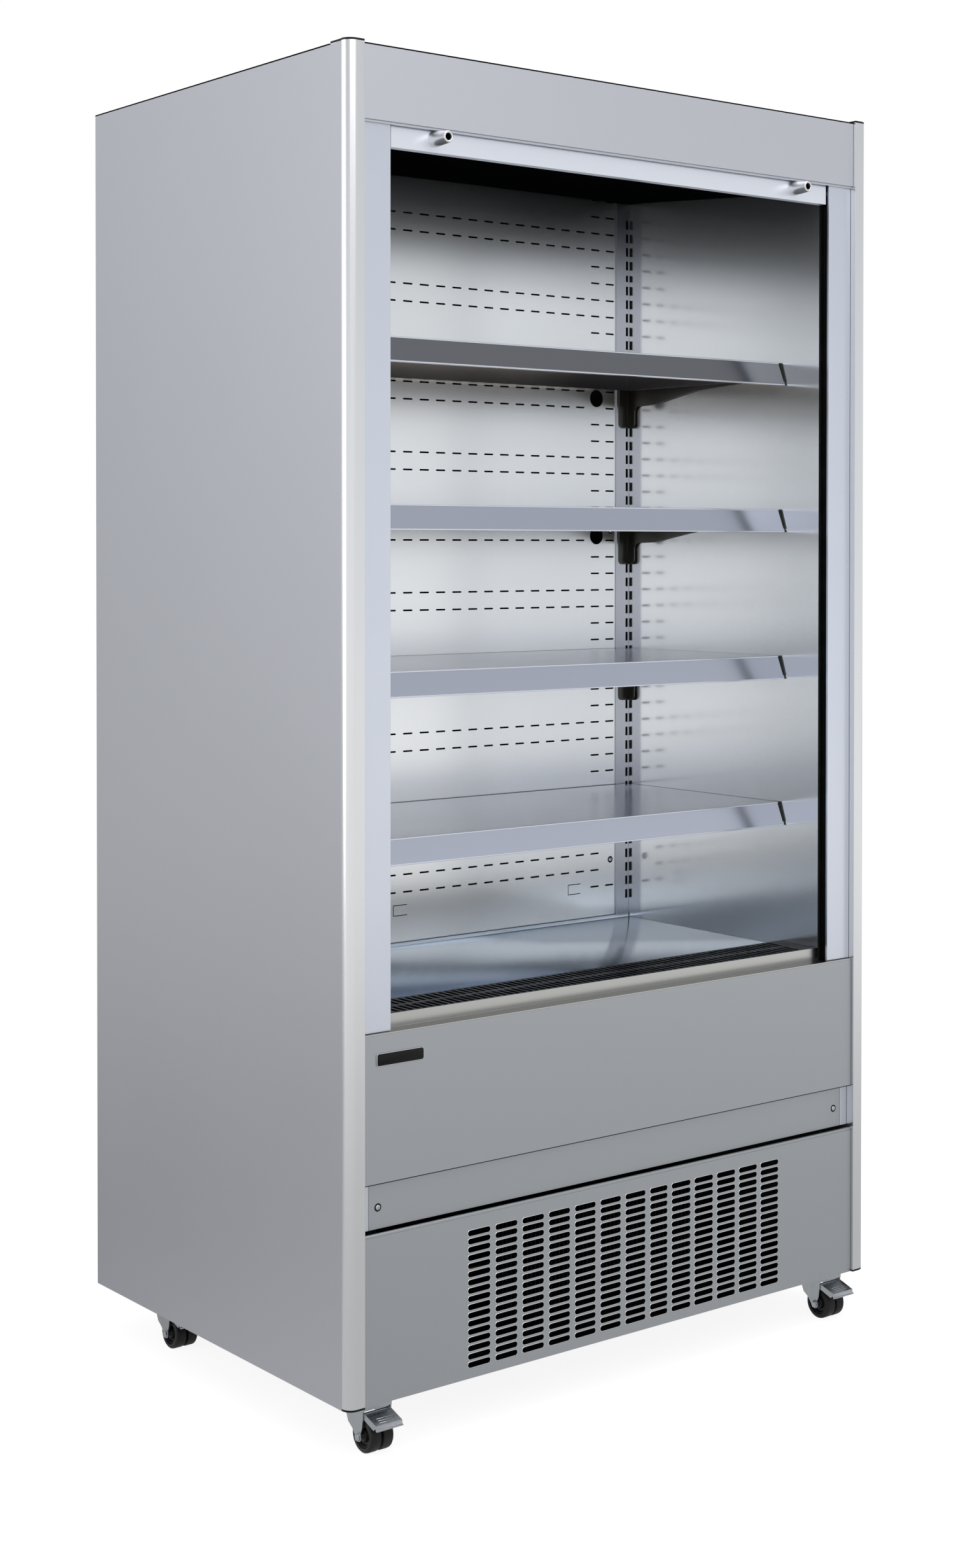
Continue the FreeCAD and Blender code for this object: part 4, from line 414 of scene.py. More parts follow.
# Colour, metallic, roughness, grain direction, grain scale, contrast, spread of the roughness,
# bump, amount and scale of the handling marks.
METALS = {
    "satin case sheet": ("case", 0.85, 0.42, EVEN, 900.0, 0.12, 0.05, 0.02, 0.02, 2.5),
    "satin canopy sheet": ("canopy", 0.85, 0.4, EVEN, 900.0, 0.12, 0.05, 0.02, 0.02, 2.5),
    # Partly painted shade: the front sheet is set darker than the case sheet.
    "satin front sheet": ("front", 0.85, 0.4, EVEN, 900.0, 0.12, 0.05, 0.02, 0.02, 3.0),
    "anodised post": ("post", 0.95, 0.24, UPRIGHT, 700.0, 0.12, 0.05, 0.01, 0.02, 4.0),
    "bright trim": ("trim", 0.9, 0.28, UPRIGHT, 800.0, 0.08, 0.04, 0.01, 0.03, 6.0),
    "ledge steel": ("ledge", 1.0, 0.24, LEVEL, 800.0, 0.1, 0.04, 0.003, 0.02, 4.0),
    # Painted shade: the ledge's up-facing faces, darker than its front.
    "ledge top steel": ("ledge_top", 1.0, 0.26, LEVEL, 800.0, 0.1, 0.04, 0.003, 0.02, 4.0),
    "back wall steel": ("steel", 1.0, 0.23, LEVEL, 600.0, 0.1, 0.03, 0.004, 0.012, 1.5),
    "upright steel": ("upright", 1.0, 0.24, UPRIGHT, 700.0, 0.1, 0.04, 0.004, 0.02, 4.0),
    "side wall steel": ("steel", 0.92, 0.15, DEEP, 600.0, 0.08, 0.03, 0.003, 0.01, 1.5),
    "deck steel": ("deck", 0.95, 0.16, LEVEL, 600.0, 0.1, 0.04, 0.003, 0.015, 2.0),
    "shelf steel": ("rail", 1.0, 0.2, LEVEL, 700.0, 0.1, 0.04, 0.004, 0.02, 3.0),
    # Painted shade: the shelf steel made darker for the top shelf.
    "top shelf steel": ("top_rail", 1.0, 0.2, LEVEL, 700.0, 0.1, 0.04, 0.004, 0.02, 3.0),
    # Painted shade and reflection: the shelves' down-facing faces in a dark brownish tone.
    "shelf underside": ("under", 1.0, 0.22, LEVEL, 700.0, 0.15, 0.05, 0.01, 0.04, 5.0),
    # Painted highlight: the rails' rolled lips in the brighter trim colour.
    "rail lip": ("trim", 1.0, 0.25, LEVEL, 900.0, 0.1, 0.04, 0.004, 0.02, 6.0),
    "bracket steel": ("bracket", 1.0, 0.3, LEVEL, 700.0, 0.25, 0.08, 0.02, 0.06, 10.0),
    "anodised bar": ("bar", 0.85, 0.3, LEVEL, 900.0, 0.08, 0.04, 0.01, 0.02, 5.0),
    "turned metal": ("bright", 1.0, 0.2, EVEN, 1200.0, 0.15, 0.06, 0.02, 0.04, 40.0),
    "satin handle": ("post", 0.85, 0.32, EVEN, 1200.0, 0.1, 0.05, 0.01, 0.03, 30.0),
    "rear zinc sheet": ("zinc", 1.0, 0.38, EVEN, 120.0, 0.35, 0.15, 0.02, 0.06, 8.0),
}

# Colour, roughness, pebble scale, bump, dust, gloss.
MOULDINGS = {
    "black coated sheet": ("black", 0.6, 1400.0, 0.03, 0.0, 0.0),
    "black plastic": ("black", 0.42, 1200.0, 0.1, 0.04, 0.25),
    "grille plastic": ("grille", 0.34, 1100.0, 0.1, 0.05, 0.4),
    "tyre rubber": ("rubber", 0.5, 1500.0, 0.15, 0.15, 0.35),
    "hub plastic": ("rubber", 0.4, 1200.0, 0.1, 0.1, 0.3),
    "badge black": ("black", 0.2, 2000.0, 0.02, 0.0, 0.2),
    "compressor enamel": ("black", 0.35, 600.0, 0.2, 0.1, 0.3),
    "coil black": ("black", 0.5, 900.0, 0.1, 0.1, 0.15),
    # Painted shade: dark grey insulation, so that gaps onto it read as black.
    "insulation facing": ("foam", 0.8, 500.0, 0.3, 0.0, 0.1),
    "lamp diffuser": ("lamp", 0.5, 1500.0, 0.05, 0.0, 0.3),
}

# Colour, roughness, wear of the edges, darkening of the hollows.
PLATED = {
    "castor zinc": ("zinc", 0.22, 0.6, 0.35),
    "fin sheet": ("zinc", 0.35, 0.2, 0.5),
    "drawn copper": ("copper", 0.28, 0.3, 0.4),
}

CLOTHS = {"blind cloth": ("cloth",)}

FINISHES = ((METALS, metal_finish), (MOULDINGS, moulded_finish), (PLATED, worn_finish),
            (CLOTHS, cloth_finish))


def finish(name):
    """The material of that name, made when it is first asked for."""
    found = bpy.data.materials.get(name)
    if found:
        return found
    rows, maker = next(pair for pair in FINISHES if name in pair[0])
    tint, *values = rows[name]
    made, tree, shader = blank_material(name)
    maker(tree, shader, getattr(bpy.context.scene.fridge_colours, tint), *values)
    return made


# ------------------------------------------------------------------------ mesh helpers

WELD = 1e-6
FORWARD = (0, -1, 0)


def body_of_node(node_name):
    return frame["nodes"][node_name]["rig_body"]


def add_piece(name, bm, body, look, replaces=(), smooth=35.0):
    """Makes the bmesh a piece that rides on a body."""
    bmesh.ops.recalc_face_normals(bm, faces=bm.faces)
    mesh = bpy.data.meshes.new(name)
    bm.to_mesh(mesh)
    bm.free()
    mesh.shade_smooth()
    mesh.set_sharp_from_angle(angle=math.radians(smooth))
    piece = bpy.data.objects.new(name, mesh)
    bpy.context.scene.collection.objects.link(piece)
    piece.data.materials.append(finish(look))
    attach(piece, body)
    if replaces:
        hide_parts(*replaces)
    return piece


def dress(look, *node_names):
    """Gives CAD nodes, as they are, a better material."""
    for node_name in node_names:
        shown = frame["nodes"][node_name]
        if not shown.material_slots:
            shown.data.materials.append(finish(look))
        for held in shown.material_slots:
            held.material = finish(look)


def weld(bm):
    bmesh.ops.remove_doubles(bm, verts=bm.verts, dist=WELD)


def welded_copy(node_name):
    """The node's mesh as a bmesh with its loose triangles joined."""
    bm = bmesh.new()
    bm.from_mesh(frame["nodes"][node_name].data)
    weld(bm)
    return bm


def eased(node_name, look, radius, other=None, facing=1):
    """A copy of a CAD node whose edges are rounded so that they catch the light.

    The faces that look up (or down, when facing is -1) may have another look: a copy in another
    colour, painted light for how those faces are lit.
    """
    bm = welded_copy(node_name)
    bmesh.ops.dissolve_limit(bm, angle_limit=math.radians(0.5), use_dissolve_boundaries=False,
                             verts=bm.verts, edges=bm.edges)
    if other:
        for face in bm.faces:
            face.material_index = int(face.normal.z * facing > 0.9)
    piece = add_piece(node_name + "_eased", bm, body_of_node(node_name), look,
                      (node_name,))
    if other:
        piece.data.materials.append(finish(other))
    rounding = piece.modifiers.new("Rounding", "BEVEL")
    rounding.width = radius
    rounding.segments = 2
    rounding.limit_method = "ANGLE"
    rounding.angle_limit = math.radians(40.0)
    rounding.harden_normals = True


def round_edges(bm, edges, radius, segments=2):
    bmesh.ops.bevel(bm, geom=edges, offset=radius, segments=segments, profile=0.5,
                    affect="EDGES", material=-1, offset_type="OFFSET")


def edges_of(verts):
    return list({e for v in verts for e in v.link_edges})


def add_box(bm, low, high, radius=0.0, segments=2):
    """A block between two corners, its edges rounded."""
    low, high = Vector(low), Vector(high)
    place = Matrix.Translation((low + high) / 2) @ Matrix.Diagonal((*(high - low), 1.0))
    made = bmesh.ops.create_cube(bm, size=1.0, matrix=place)["verts"]
    if radius:
        round_edges(bm, edges_of(made), radius, segments)
    return made


def scaled(profile, depth, radius):
    """A profile given in shares of its depth and radius, in metres."""
    return [(depth * along, radius * out) for along, out in profile]


def turn_piece(bm, profile, centre, axis, steps):
    """Turns (distance along the axis, radius) pairs into a round shape about the axis."""
    axis = Vector(axis).normalized()
    side = axis.orthogonal().normalized()
    verts = [bm.verts.new(centre + axis * along + side * radius) for along, radius in profile]
    edges = [bm.edges.new(pair) for pair in zip(verts, verts[1:])]
    bmesh.ops.spin(bm, geom=verts + edges, cent=centre, axis=axis, dvec=(0, 0, 0),
                   angle=math.tau, steps=steps, use_merge=True, use_duplicate=False)


def islands(edges):
    """The sets of vertices that the edges join, one by one."""
    left = set(edges)
    while left:
        first = left.pop()
        points, todo = set(first.verts), list(first.verts)
        while todo:
            for edge in todo.pop().link_edges:
                if edge in left:
                    left.discard(edge)
                    todo.extend(v for v in edge.verts if v not in points)
                    points.update(edge.verts)
        yield points


def corners(verts):
    """The lowest and the highest corner of some vertices."""
    places = [[v.co[i] for v in verts] for i in range(3)]
    return tuple(min(row) for row in places), tuple(max(row) for row in places)


# -------------------------------------------------------------------------- the pieces


class FRIDGE_OT_casing(bpy.types.Operator):
    """Sides, posts, end caps, canopy, roof, rear and base"""
    bl_idname = "fridge.casing"
    bl_label = "Casing"

    def execute(self, context):
        d = context.scene.fridge_details
        for side in SIDES:
            eased(f"side_panel_{side}", "satin case sheet", d.edge)
            eased(f"corner_post_{side}", "anodised post", d.edge)
        eased("canopy_panel", "satin canopy sheet", d.edge)
        eased("post_caps", "black plastic", d.fold)
        # The base frame is black partly as painted shade, so that the machine room seen through
        # the louvre slots reads dark.
        dress("black coated sheet", "top_panel", "base_frame")
        dress("rear zinc sheet", "rear_panel")
        # The insulation is dark grey as painted shade, so that the gaps onto it read as black.
        dress("insulation facing", "insulation")
        return {"FINISHED"}


RIM_ROOT = 0.0008
RIM_STEPS = 16
WIDEST_SLOT = 0.2
ON_AXIS = 1e-7
ON_FACE = 1e-5


def slot_rim(bm, x, z, y, long_side, high_side, width, height):
    """A pressed rim round one obround slot in the panel face at y."""
    reach = (long_side - high_side) / 2
    ring = bmesh.ops.create_circle(bm, cap_ends=False, radius=high_side / 2, segments=RIM_STEPS,
                                   matrix=Matrix.Rotation(math.pi / 2, 4, "X"))["verts"]
    for vert in ring:
        if abs(vert.co.x) > ON_AXIS:
            vert.co.x += math.copysign(reach, vert.co.x)
        else:
            vert.co.x = math.copysign(reach, vert.co.z)
    edges = edges_of(ring)
    verts = list(ring)
    for grow, out in ((0.0, -height * 0.6), (width * 0.45, -height), (width, 0.0)):
        made = bmesh.ops.extrude_edge_only(bm, edges=edges)["geom"]
        layer = [g for g in made if isinstance(g, bmesh.types.BMVert)]
        edges = [g for g in made if isinstance(g, bmesh.types.BMEdge)
                 and g.verts[0] in layer and g.verts[1] in layer]
        for vert in layer:
            spine = max(-reach, min(reach, vert.co.x))
            away = Vector((vert.co.x - spine, 0.0, vert.co.z)).normalized()
            vert.co = Vector((spine, 0.0, 0.0)) + away * (high_side / 2 + grow)
            vert.co.y = out
        verts += layer
    for vert in ring:
        vert.co.y = RIM_ROOT
    bmesh.ops.translate(bm, vec=(x, y, z), verts=verts)


def louvre_slots(face):
    """Middle x, middle z, length and height of the slots in the louvre panel's front face."""
    bm = welded_copy("louvre_panel")
    flat = {f for f in bm.faces if abs(f.calc_center_median().y - face) < ON_FACE}
    rim = {e for f in flat for e in f.edges if sum(g in flat for g in e.link_faces) == 1}
    slots = []
    for points in islands(rim):
        low, high = corners(points)
        if high[0] - low[0] < WIDEST_SLOT:
            slots.append(((high[0] + low[0]) / 2, (high[2] + low[2]) / 2,
                          high[0] - low[0], high[2] - low[2]))
    bm.free()
    return sorted(slots)


# Height of the black strips that paint shadow lines at the upper panel's edges.
SHADOW_LINE_HEIGHT = 0.0012
PLATE_CORNER, PLATE_EASE = 0.004, 0.0003
SCREW_DOME = ((0.0, 1.0), (0.35, 0.97), (0.75, 0.75), (0.98, 0.35), (1.0, 0.0))
CROSS_ANGLE = math.radians(35)


class FRIDGE_OT_lower_front(bpy.types.Operator):
    """Upper front panel, kick strip, louvre panel with pressed rims, plate and screws"""
    bl_idname = "fridge.lower_front"
    bl_label = "Lower front"

    def execute(self, context):
        d = context.scene.fridge_details
        for node_name in ("upper_front_panel", "kick_strip"):
            eased(node_name, "satin front sheet", d.edge)
        dress("satin front sheet", "louvre_panel")
        self.shadow_lines_and_fold()
        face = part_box("louvre_panel")[0].y
        rims = bmesh.new()
        for x, z, long_side, high_side in louvre_slots(face):
            slot_rim(rims, x, z, face, long_side, high_side, d.rim_width, d.rim_height)
        # The rims are pressed from the panel's own sheet but take the brighter post finish, as
        # painted highlight.
        add_piece("louvre_rims", rims, "cabinet", "anodised post", smooth=50.0)
        self.badge(d)
        self.screws()
        return {"FINISHED"}

    def shadow_lines_and_fold(self):
        """Black strips along the upper panel's top and bottom edges as painted shadow lines, and
        the folded top edge of the louvre panel.
        """
        low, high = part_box("upper_front_panel")
        # Painted shadow: thin black strips just behind the upper panel's top and bottom edges.
        shadow_lines = bmesh.new()
        for z in (low.z - SHADOW_LINE_HEIGHT, high.z):
            add_box(shadow_lines, (low.x, low.y + 0.0003, z), (high.x, low.y + 0.004, z + SHADOW_LINE_HEIGHT))
        add_piece("joint_strips", shadow_lines, "cabinet", "black plastic")
        low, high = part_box("louvre_panel")
        fold = bmesh.new()
        add_box(fold, (low.x, low.y, high.z - 0.0002), (high.x, low.y + 0.005, high.z + 0.0042),
                0.0008, 3)
        add_piece("louvre_fold", fold, "cabinet", "satin front sheet")

    def badge(self, d):
        """A black face that stands proud inside a thin bright border."""
        low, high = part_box("badge_plate")
        rim = bmesh.new()
        self.plate(rim, low, high, PLATE_CORNER)
        add_piece("badge_border", rim, "cabinet", "turned metal", ("badge_plate",))
        face = bmesh.new()
        inset = Vector((d.badge_rim, 0.0, d.badge_rim))
        low_face, high_face = low + inset, high - inset
        low_face.y, high_face.y = low.y - 0.0004, low.y + 0.0008
        self.plate(face, low_face, high_face, PLATE_CORNER - 0.001)
        add_piece("badge_face", face, "cabinet", "badge black")

    def plate(self, bm, low, high, corner):
        """A plate with round corners and an eased front edge."""
        add_box(bm, low, high)
        standing = [e for e in bm.edges
                    if abs((e.verts[0].co - e.verts[1].co).normalized().y) > 0.9]
        round_edges(bm, standing, corner, 6)
        outer = [e for e in bm.edges if all(abs(v.co.y - low.y) < WELD for v in e.verts)]
        round_edges(bm, outer, PLATE_EASE)

    def screws(self):
        """Domed heads with a plain cross, in dark rings, where the CAD heads sit."""
        source = welded_copy("screws")
        heads, rings = bmesh.new(), bmesh.new()
        for low, high in sorted(corners(points) for points in islands(source.edges)):
            centre = Vector(((low[0] + high[0]) / 2, high[1], (low[2] + high[2]) / 2))
            radius, rise = (high[0] - low[0]) / 2, high[1] - low[1]
            turn_piece(heads, scaled(SCREW_DOME, rise, radius), centre, FORWARD, 20)
            turn_piece(rings, [(0.0001, radius * 1.45), (0.0003, radius * 1.4), (0.0003, 0.0005)],
                       centre, FORWARD, 24)
            for turned in (CROSS_ANGLE, CROSS_ANGLE + math.pi / 2):
                arm = Matrix.Translation(centre + Vector(FORWARD) * rise * 0.99)
                arm = arm @ Matrix.Rotation(turned, 4, "Y")
                arm = arm @ Matrix.Diagonal((radius * 1.1, 0.0003, radius * 0.26, 1.0))
                bmesh.ops.create_cube(heads, size=1.0, matrix=arm)
        source.free()
        weld(heads)
        add_piece("screw_rings", rings, "cabinet", "black plastic", smooth=60.0)
        add_piece("screw_heads", heads, "cabinet", "turned metal", ("screws",), 60.0)


class FRIDGE_OT_opening(bpy.types.Operator):
    """Trims, blind guides and the ledge round the opening"""
    bl_idname = "fridge.opening"
    bl_label = "Opening"

    def execute(self, context):
        d = context.scene.fridge_details
        for side in SIDES:
            eased(f"trim_{side}", "bright trim", d.edge)
        eased("blind_guides", "black plastic", d.edge)
        # The ledge's up-facing faces take a darker copy of its steel, as painted shade.
        eased("front_ledge", "ledge steel", d.edge, other="ledge top steel")
        return {"FINISHED"}


class FRIDGE_OT_cold_space(bpy.types.Operator):
    """Liners, perforated back, uprights, ceiling, deck and return air grille"""
    bl_idname = "fridge.cold_space"
    bl_label = "Cold space"

    def execute(self, context):
        d = context.scene.fridge_details
        dress("side wall steel", "liner_left", "liner_right")
        dress("back wall steel", "duct_panel_lower", "duct_panel_upper")
        dress("upright steel", "shelf_uprights")
        dress("black coated sheet", "ceiling_panel")
        dress("deck steel", "well_pan")
        eased("base_deck", "deck steel", d.edge)
        dress("grille plastic", "return_grille")
        dress("lamp diffuser", "led_lamp")
        return {"FINISHED"}


LIP_INSET = 0.0005
CAP_WIDTH, CAP_PROUD, CAP_DEPTH = 0.0022, 0.0008, 0.006


class FRIDGE_OT_shelves(bpy.types.Operator):
    """Four shelves, the rolled lips of their price rails, and their brackets"""
    bl_idname = "fridge.shelves"
    bl_label = "Shelves"

    def execute(self, context):
        d = context.scene.fridge_details
        for node_name in SHELVES:
            # The top shelf takes a darker copy of the shelf steel, as painted shade.
            look = "top shelf steel" if node_name == "shelf_1" else "shelf steel"
            # Down-facing faces take painted light: a dark brownish painted shade under the upper
            # shelves, and the deck's colour under the lowest.
            below = "deck steel" if node_name == "shelf_4" else "shelf underside"
            eased(node_name, look, d.edge, other=below, facing=-1)
            self.lips(d, node_name, body_of_node(node_name))
        eased("shelf_brackets", "bracket steel", d.edge)
        return {"FINISHED"}

    def lips(self, d, node_name, body):
        """Round lips along the top and the foot of the leaning rail, in the brighter trim colour
        as painted highlight, and its black end caps.
        """
        low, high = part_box(node_name)
        points = [v.co for v in frame["nodes"][node_name].data.vertices]
        top = min(co.y for co in points if co.z > high.z - 0.0005)
        lean = (top - low.y) / (high.z - low.z)
        rolled = bmesh.new()
        for y, z in ((top, high.z - d.lip), (low.y, low.z + d.lip)):
            add_box(rolled, (low.x + LIP_INSET, y - d.lip * 0.6, z - d.lip),
                    (high.x - LIP_INSET, y + d.lip * 0.4, z + d.lip), d.lip * 0.4, 3)
        add_piece(node_name + "_lips", rolled, body, "rail lip", smooth=50.0)
        caps = bmesh.new()
        for x in (low.x, high.x - CAP_WIDTH):
            for vert in add_box(caps, (x, low.y - CAP_PROUD, low.z),
                                (x + CAP_WIDTH, low.y + CAP_DEPTH, high.z)):
                vert.co.y += (vert.co.z - low.z) * lean
        add_piece(node_name + "_end_caps", caps, body, "black plastic")


HANDLE_TIP, HANDLE_BORE, HANDLE_LIP = 0.0085, 0.0055, 0.0012
TURN_STEPS = 24


class FRIDGE_OT_night_blind(bpy.types.Operator):
    """Pull bar, turned handles, roller, wound cloth and the free cloth"""
    bl_idname = "fridge.night_blind"
    bl_label = "Night blind"

    def execute(self, context):
        d = context.scene.fridge_details
        eased("pull_bar", "anodised bar", d.edge)
        self.handles(d)
        dress("anodised bar", "blind_roller")
        dress("rear zinc sheet", "blind_brackets")
        self.wound_cloth(d)
        self.free_cloth()
        return {"FINISHED"}

    def handles(self, d):
        """Flared tubes with a black sleeve set back in the bore, as painted shade inside it."""
        low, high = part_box("pull_handles")
        base = (high.z - low.z) / 2
        tip, bore, lip, depth = HANDLE_TIP, HANDLE_BORE, HANDLE_LIP, high.y - low.y
        shell = [
            (0.0, bore * 0.2), (0.0, base), (depth * 0.04, base * 0.995),
            (depth * 0.96, tip * 1.02), (depth * 0.99, tip * 0.97), (depth, tip - lip),
            (depth, bore + lip * 0.6), (depth - lip * 0.5, bore), (depth * 0.12, bore),
            (depth * 0.12, 0.0002),
        ]
        bore_shade = scaled(((0.55, 0.0), (0.55, 0.985), (0.9, 0.985)), depth, bore)
        shells, bore_shades = bmesh.new(), bmesh.new()
        for x in (low.x + base, high.x - base):
            centre = Vector((x, high.y, (high.z + low.z) / 2))
            turn_piece(shells, shell, centre, FORWARD, d.turned_steps)
            # Painted shade: a black sleeve set back in each bore.
            turn_piece(bore_shades, bore_shade, centre, FORWARD, 24)
        weld(shells)
        weld(bore_shades)
        add_piece("handle_tubes", shells, "blind_bar", "satin handle",
                  ("pull_handles",), 50.0)
        add_piece("handle_linings", bore_shades, "blind_bar", "black plastic")

    def wound_cloth(self, d):
        """The cloth's turns round the roller, one spiral from the tube outwards."""
        low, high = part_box("blind_cloth_roll")
        centre = (low + high) / 2
        outer = (high.z - low.z) / 2 - d.cloth_thickness / 2
        tube_low, tube_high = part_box("blind_roller")
        inner = (tube_high.z - tube_low.z) / 2 + d.cloth_thickness
        turns = int((outer - inner) / (d.cloth_thickness * 1.08))
        points = []
        for step in range(turns * TURN_STEPS + 1):
            angle = math.tau * step / TURN_STEPS
            radius = inner + (outer - inner) * step / (turns * TURN_STEPS)
            points.append(Vector((low.x, centre.y - radius * math.sin(angle),
                                  centre.z + radius * math.cos(angle))))
        bm = bmesh.new()
        line = [bm.verts.new(point) for point in points]
        edges = [bm.edges.new(pair) for pair in zip(line, line[1:])]
        made = bmesh.ops.extrude_edge_only(bm, edges=edges)["geom"]
        bmesh.ops.translate(bm, vec=(high.x - low.x, 0, 0),
                            verts=[g for g in made if isinstance(g, bmesh.types.BMVert)])
        piece = add_piece("wound_cloth", bm, "roller", "blind cloth",
                          ("blind_cloth_roll",), 60.0)

    def free_cloth(self):
        """The short free length between the roll and the bar, left on no body."""
        low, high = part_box("blind_fabric")
        middle = (low + high) / 2
        place = Matrix.Translation((0, middle.y, middle.z)) @ Matrix.Rotation(math.pi / 2, 4, "X")
        bm = bmesh.new()
        bmesh.ops.create_grid(bm, x_segments=2, y_segments=60, size=0.5, matrix=place
                              @ Matrix.Diagonal((high.x - low.x, high.z - low.z, 1.0, 1.0)))
        piece = add_piece("free_cloth", bm, "cabinet", "blind cloth",
                          ("blind_fabric",), 60.0)
        piece.parent = None
        del piece["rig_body"]
        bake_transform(piece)


# Outlines of half a twin wheel, in shares of its half width and its radius.
TYRE = ((0.09, 0.72), (0.09, 0.93), (0.13, 0.985), (0.22, 1.0), (0.78, 1.0), (0.9, 0.985),
        (0.97, 0.93), (1.0, 0.84), (0.99, 0.72), (0.86, 0.68), (0.09, 0.72))
HUB = ((0.02, 0.7), (0.84, 0.7), (0.9, 0.66), (0.9, 0.62), (0.7, 0.56), (0.7, 0.4),
       (0.94, 0.34), (0.97, 0.28))
HUB_INNER, HUB_OUTER = 0.02, 0.97
AXLE_RADIUS = 0.0043
NUT_ROOM = 0.0038
# Length, radius and sides of the washer and then of the nut.
NUT_STAGES = ((0.0007, 0.0068, 28), (0.0027, 0.0058, 6))
RIBS, RIB_PITCH = 3, 0.0042
RIB_START, RIB_DROP = 0.0085, 0.0126
RIB_SIZE = (0.026, 0.0016, 0.0014)
PEDAL_TILT = math.atan2(0.0085, 0.0255)


class FRIDGE_OT_castors(bpy.types.Operator):
    """Twin wheels, forks with axle nuts, brake pedals and top plates"""
    bl_idname = "fridge.castors"
    bl_label = "Castors"

    def execute(self, context):
        d = context.scene.fridge_details
        for where in CASTORS:
            self.wheel(d, where)
            self.fork(where)
            self.pedal(where)
        eased("castor_plates", "castor zinc", d.edge)
        return {"FINISHED"}

    def wheel(self, d, where):
        low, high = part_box(f"wheel_{where}")
        centre = (low + high) / 2
        half, radius = (high.x - low.x) / 2, (high.z - low.z) / 2
        inner, outer = (half * HUB_INNER, AXLE_RADIUS), (half * HUB_OUTER, AXLE_RADIUS)
        hub = [inner, *scaled(HUB, half, radius), outer, inner]
        tyres, hubs = bmesh.new(), bmesh.new()
        for side in (-1, 1):
            turn_piece(tyres, scaled(TYRE, half, radius), centre, (side, 0, 0), d.turned_steps)
            turn_piece(hubs, hub, centre, (side, 0, 0), d.turned_steps)
        weld(tyres)
        weld(hubs)
        add_piece(f"tyre_{where}", tyres, f"wheel_{where}", "tyre rubber",
                  (f"wheel_{where}",), 40.0)
        add_piece(f"hub_{where}", hubs, f"wheel_{where}", "hub plastic",
                  (), 40.0)

    def fork(self, where):
        """The fork, and a washer and a nut at each end of the axle."""
        eased(f"fork_{where}", "castor zinc", 0.0004)
        low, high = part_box(f"fork_{where}")
        wheel_low, wheel_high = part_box(f"wheel_{where}")
        axle = (wheel_low + wheel_high) / 2
        nuts = bmesh.new()
        for side, end in ((-1, low.x), (1, high.x)):
            start = end - side * NUT_ROOM
            for span, radius, steps in NUT_STAGES:
                place = Matrix.Translation((start + side * span / 2, axle.y, axle.z))
                made = bmesh.ops.create_cone(
                    nuts, cap_ends=True, segments=steps, radius1=radius, radius2=radius,
                    depth=span, matrix=place @ Matrix.Rotation(math.pi / 2, 4, "Y"))["verts"]
                round_edges(nuts, edges_of(made), 0.00025)
                start += side * span
        add_piece(f"axle_nuts_{where}", nuts, f"swivel_{where}", "castor zinc",
                  (), 40.0)

    def pedal(self, where):
        """The brake pedal and the ribs across its tread."""
        eased(f"pedal_{where}", "castor zinc", 0.0003)
        low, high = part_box(f"pedal_{where}")
        ribs = bmesh.new()
        for number in range(RIBS):
            along = RIB_START + number * RIB_PITCH
            z = high.z - RIB_DROP + along * math.tan(PEDAL_TILT) + 0.0001
            place = Matrix.Translation(((low.x + high.x) / 2, low.y + along, z))
            place = place @ Matrix.Rotation(PEDAL_TILT, 4, "X") @ Matrix.Diagonal((*RIB_SIZE, 1.0))
            made = bmesh.ops.create_cube(ribs, size=1.0, matrix=place)["verts"]
            round_edges(ribs, edges_of(made), 0.0005)
        add_piece(f"pedal_ribs_{where}", ribs, f"brake_{where}", "castor zinc")


class FRIDGE_OT_machinery(bpy.types.Operator):
    """Compressor, coils, fans, pipes and the control box"""
    bl_idname = "fridge.machinery"
    bl_label = "Machinery"

    def execute(self, context):
        dress("compressor enamel", "compressor")
        dress("coil black", "condenser")
        dress("fin sheet", "evaporator", "evaporator_fan")
        dress("black plastic", "condenser_fan")
        dress("rear zinc sheet", "control_box")
        dress("drawn copper", "refrigerant_pipes")
        return {"FINISHED"}


# --------------------------------------------------------------------------- the studio

WHITE, COOL_WHITE = (1.0, 1.0, 1.0, 1.0), (0.97, 0.985, 1.0, 1.0)
FLOOR_SIZE = 15.0


def slope(tree, value, start, end, first, last):
    """A smooth ramp of a value between two places."""
    return ramp(tree, value, start, end, first, last, "SMOOTHSTEP")


def by_ray(tree, seen, glossy, rest):
    """One shader where it is looked at, one in gloss, and one for the rest of the light."""
    path = put(tree, "LightPath").outputs
    looked_at = maths(tree, "MAXIMUM", path["Is Camera Ray"], path["Is Transmission Ray"])
    unseen = put(tree, "MixShader", in_0=path["Is Glossy Ray"], in_1=rest.outputs[0],
                 in_2=glossy.outputs[0])
    return put(tree, "MixShader", in_0=looked_at, in_1=unseen.outputs[0],
               in_2=seen.outputs[0]).outputs[0]


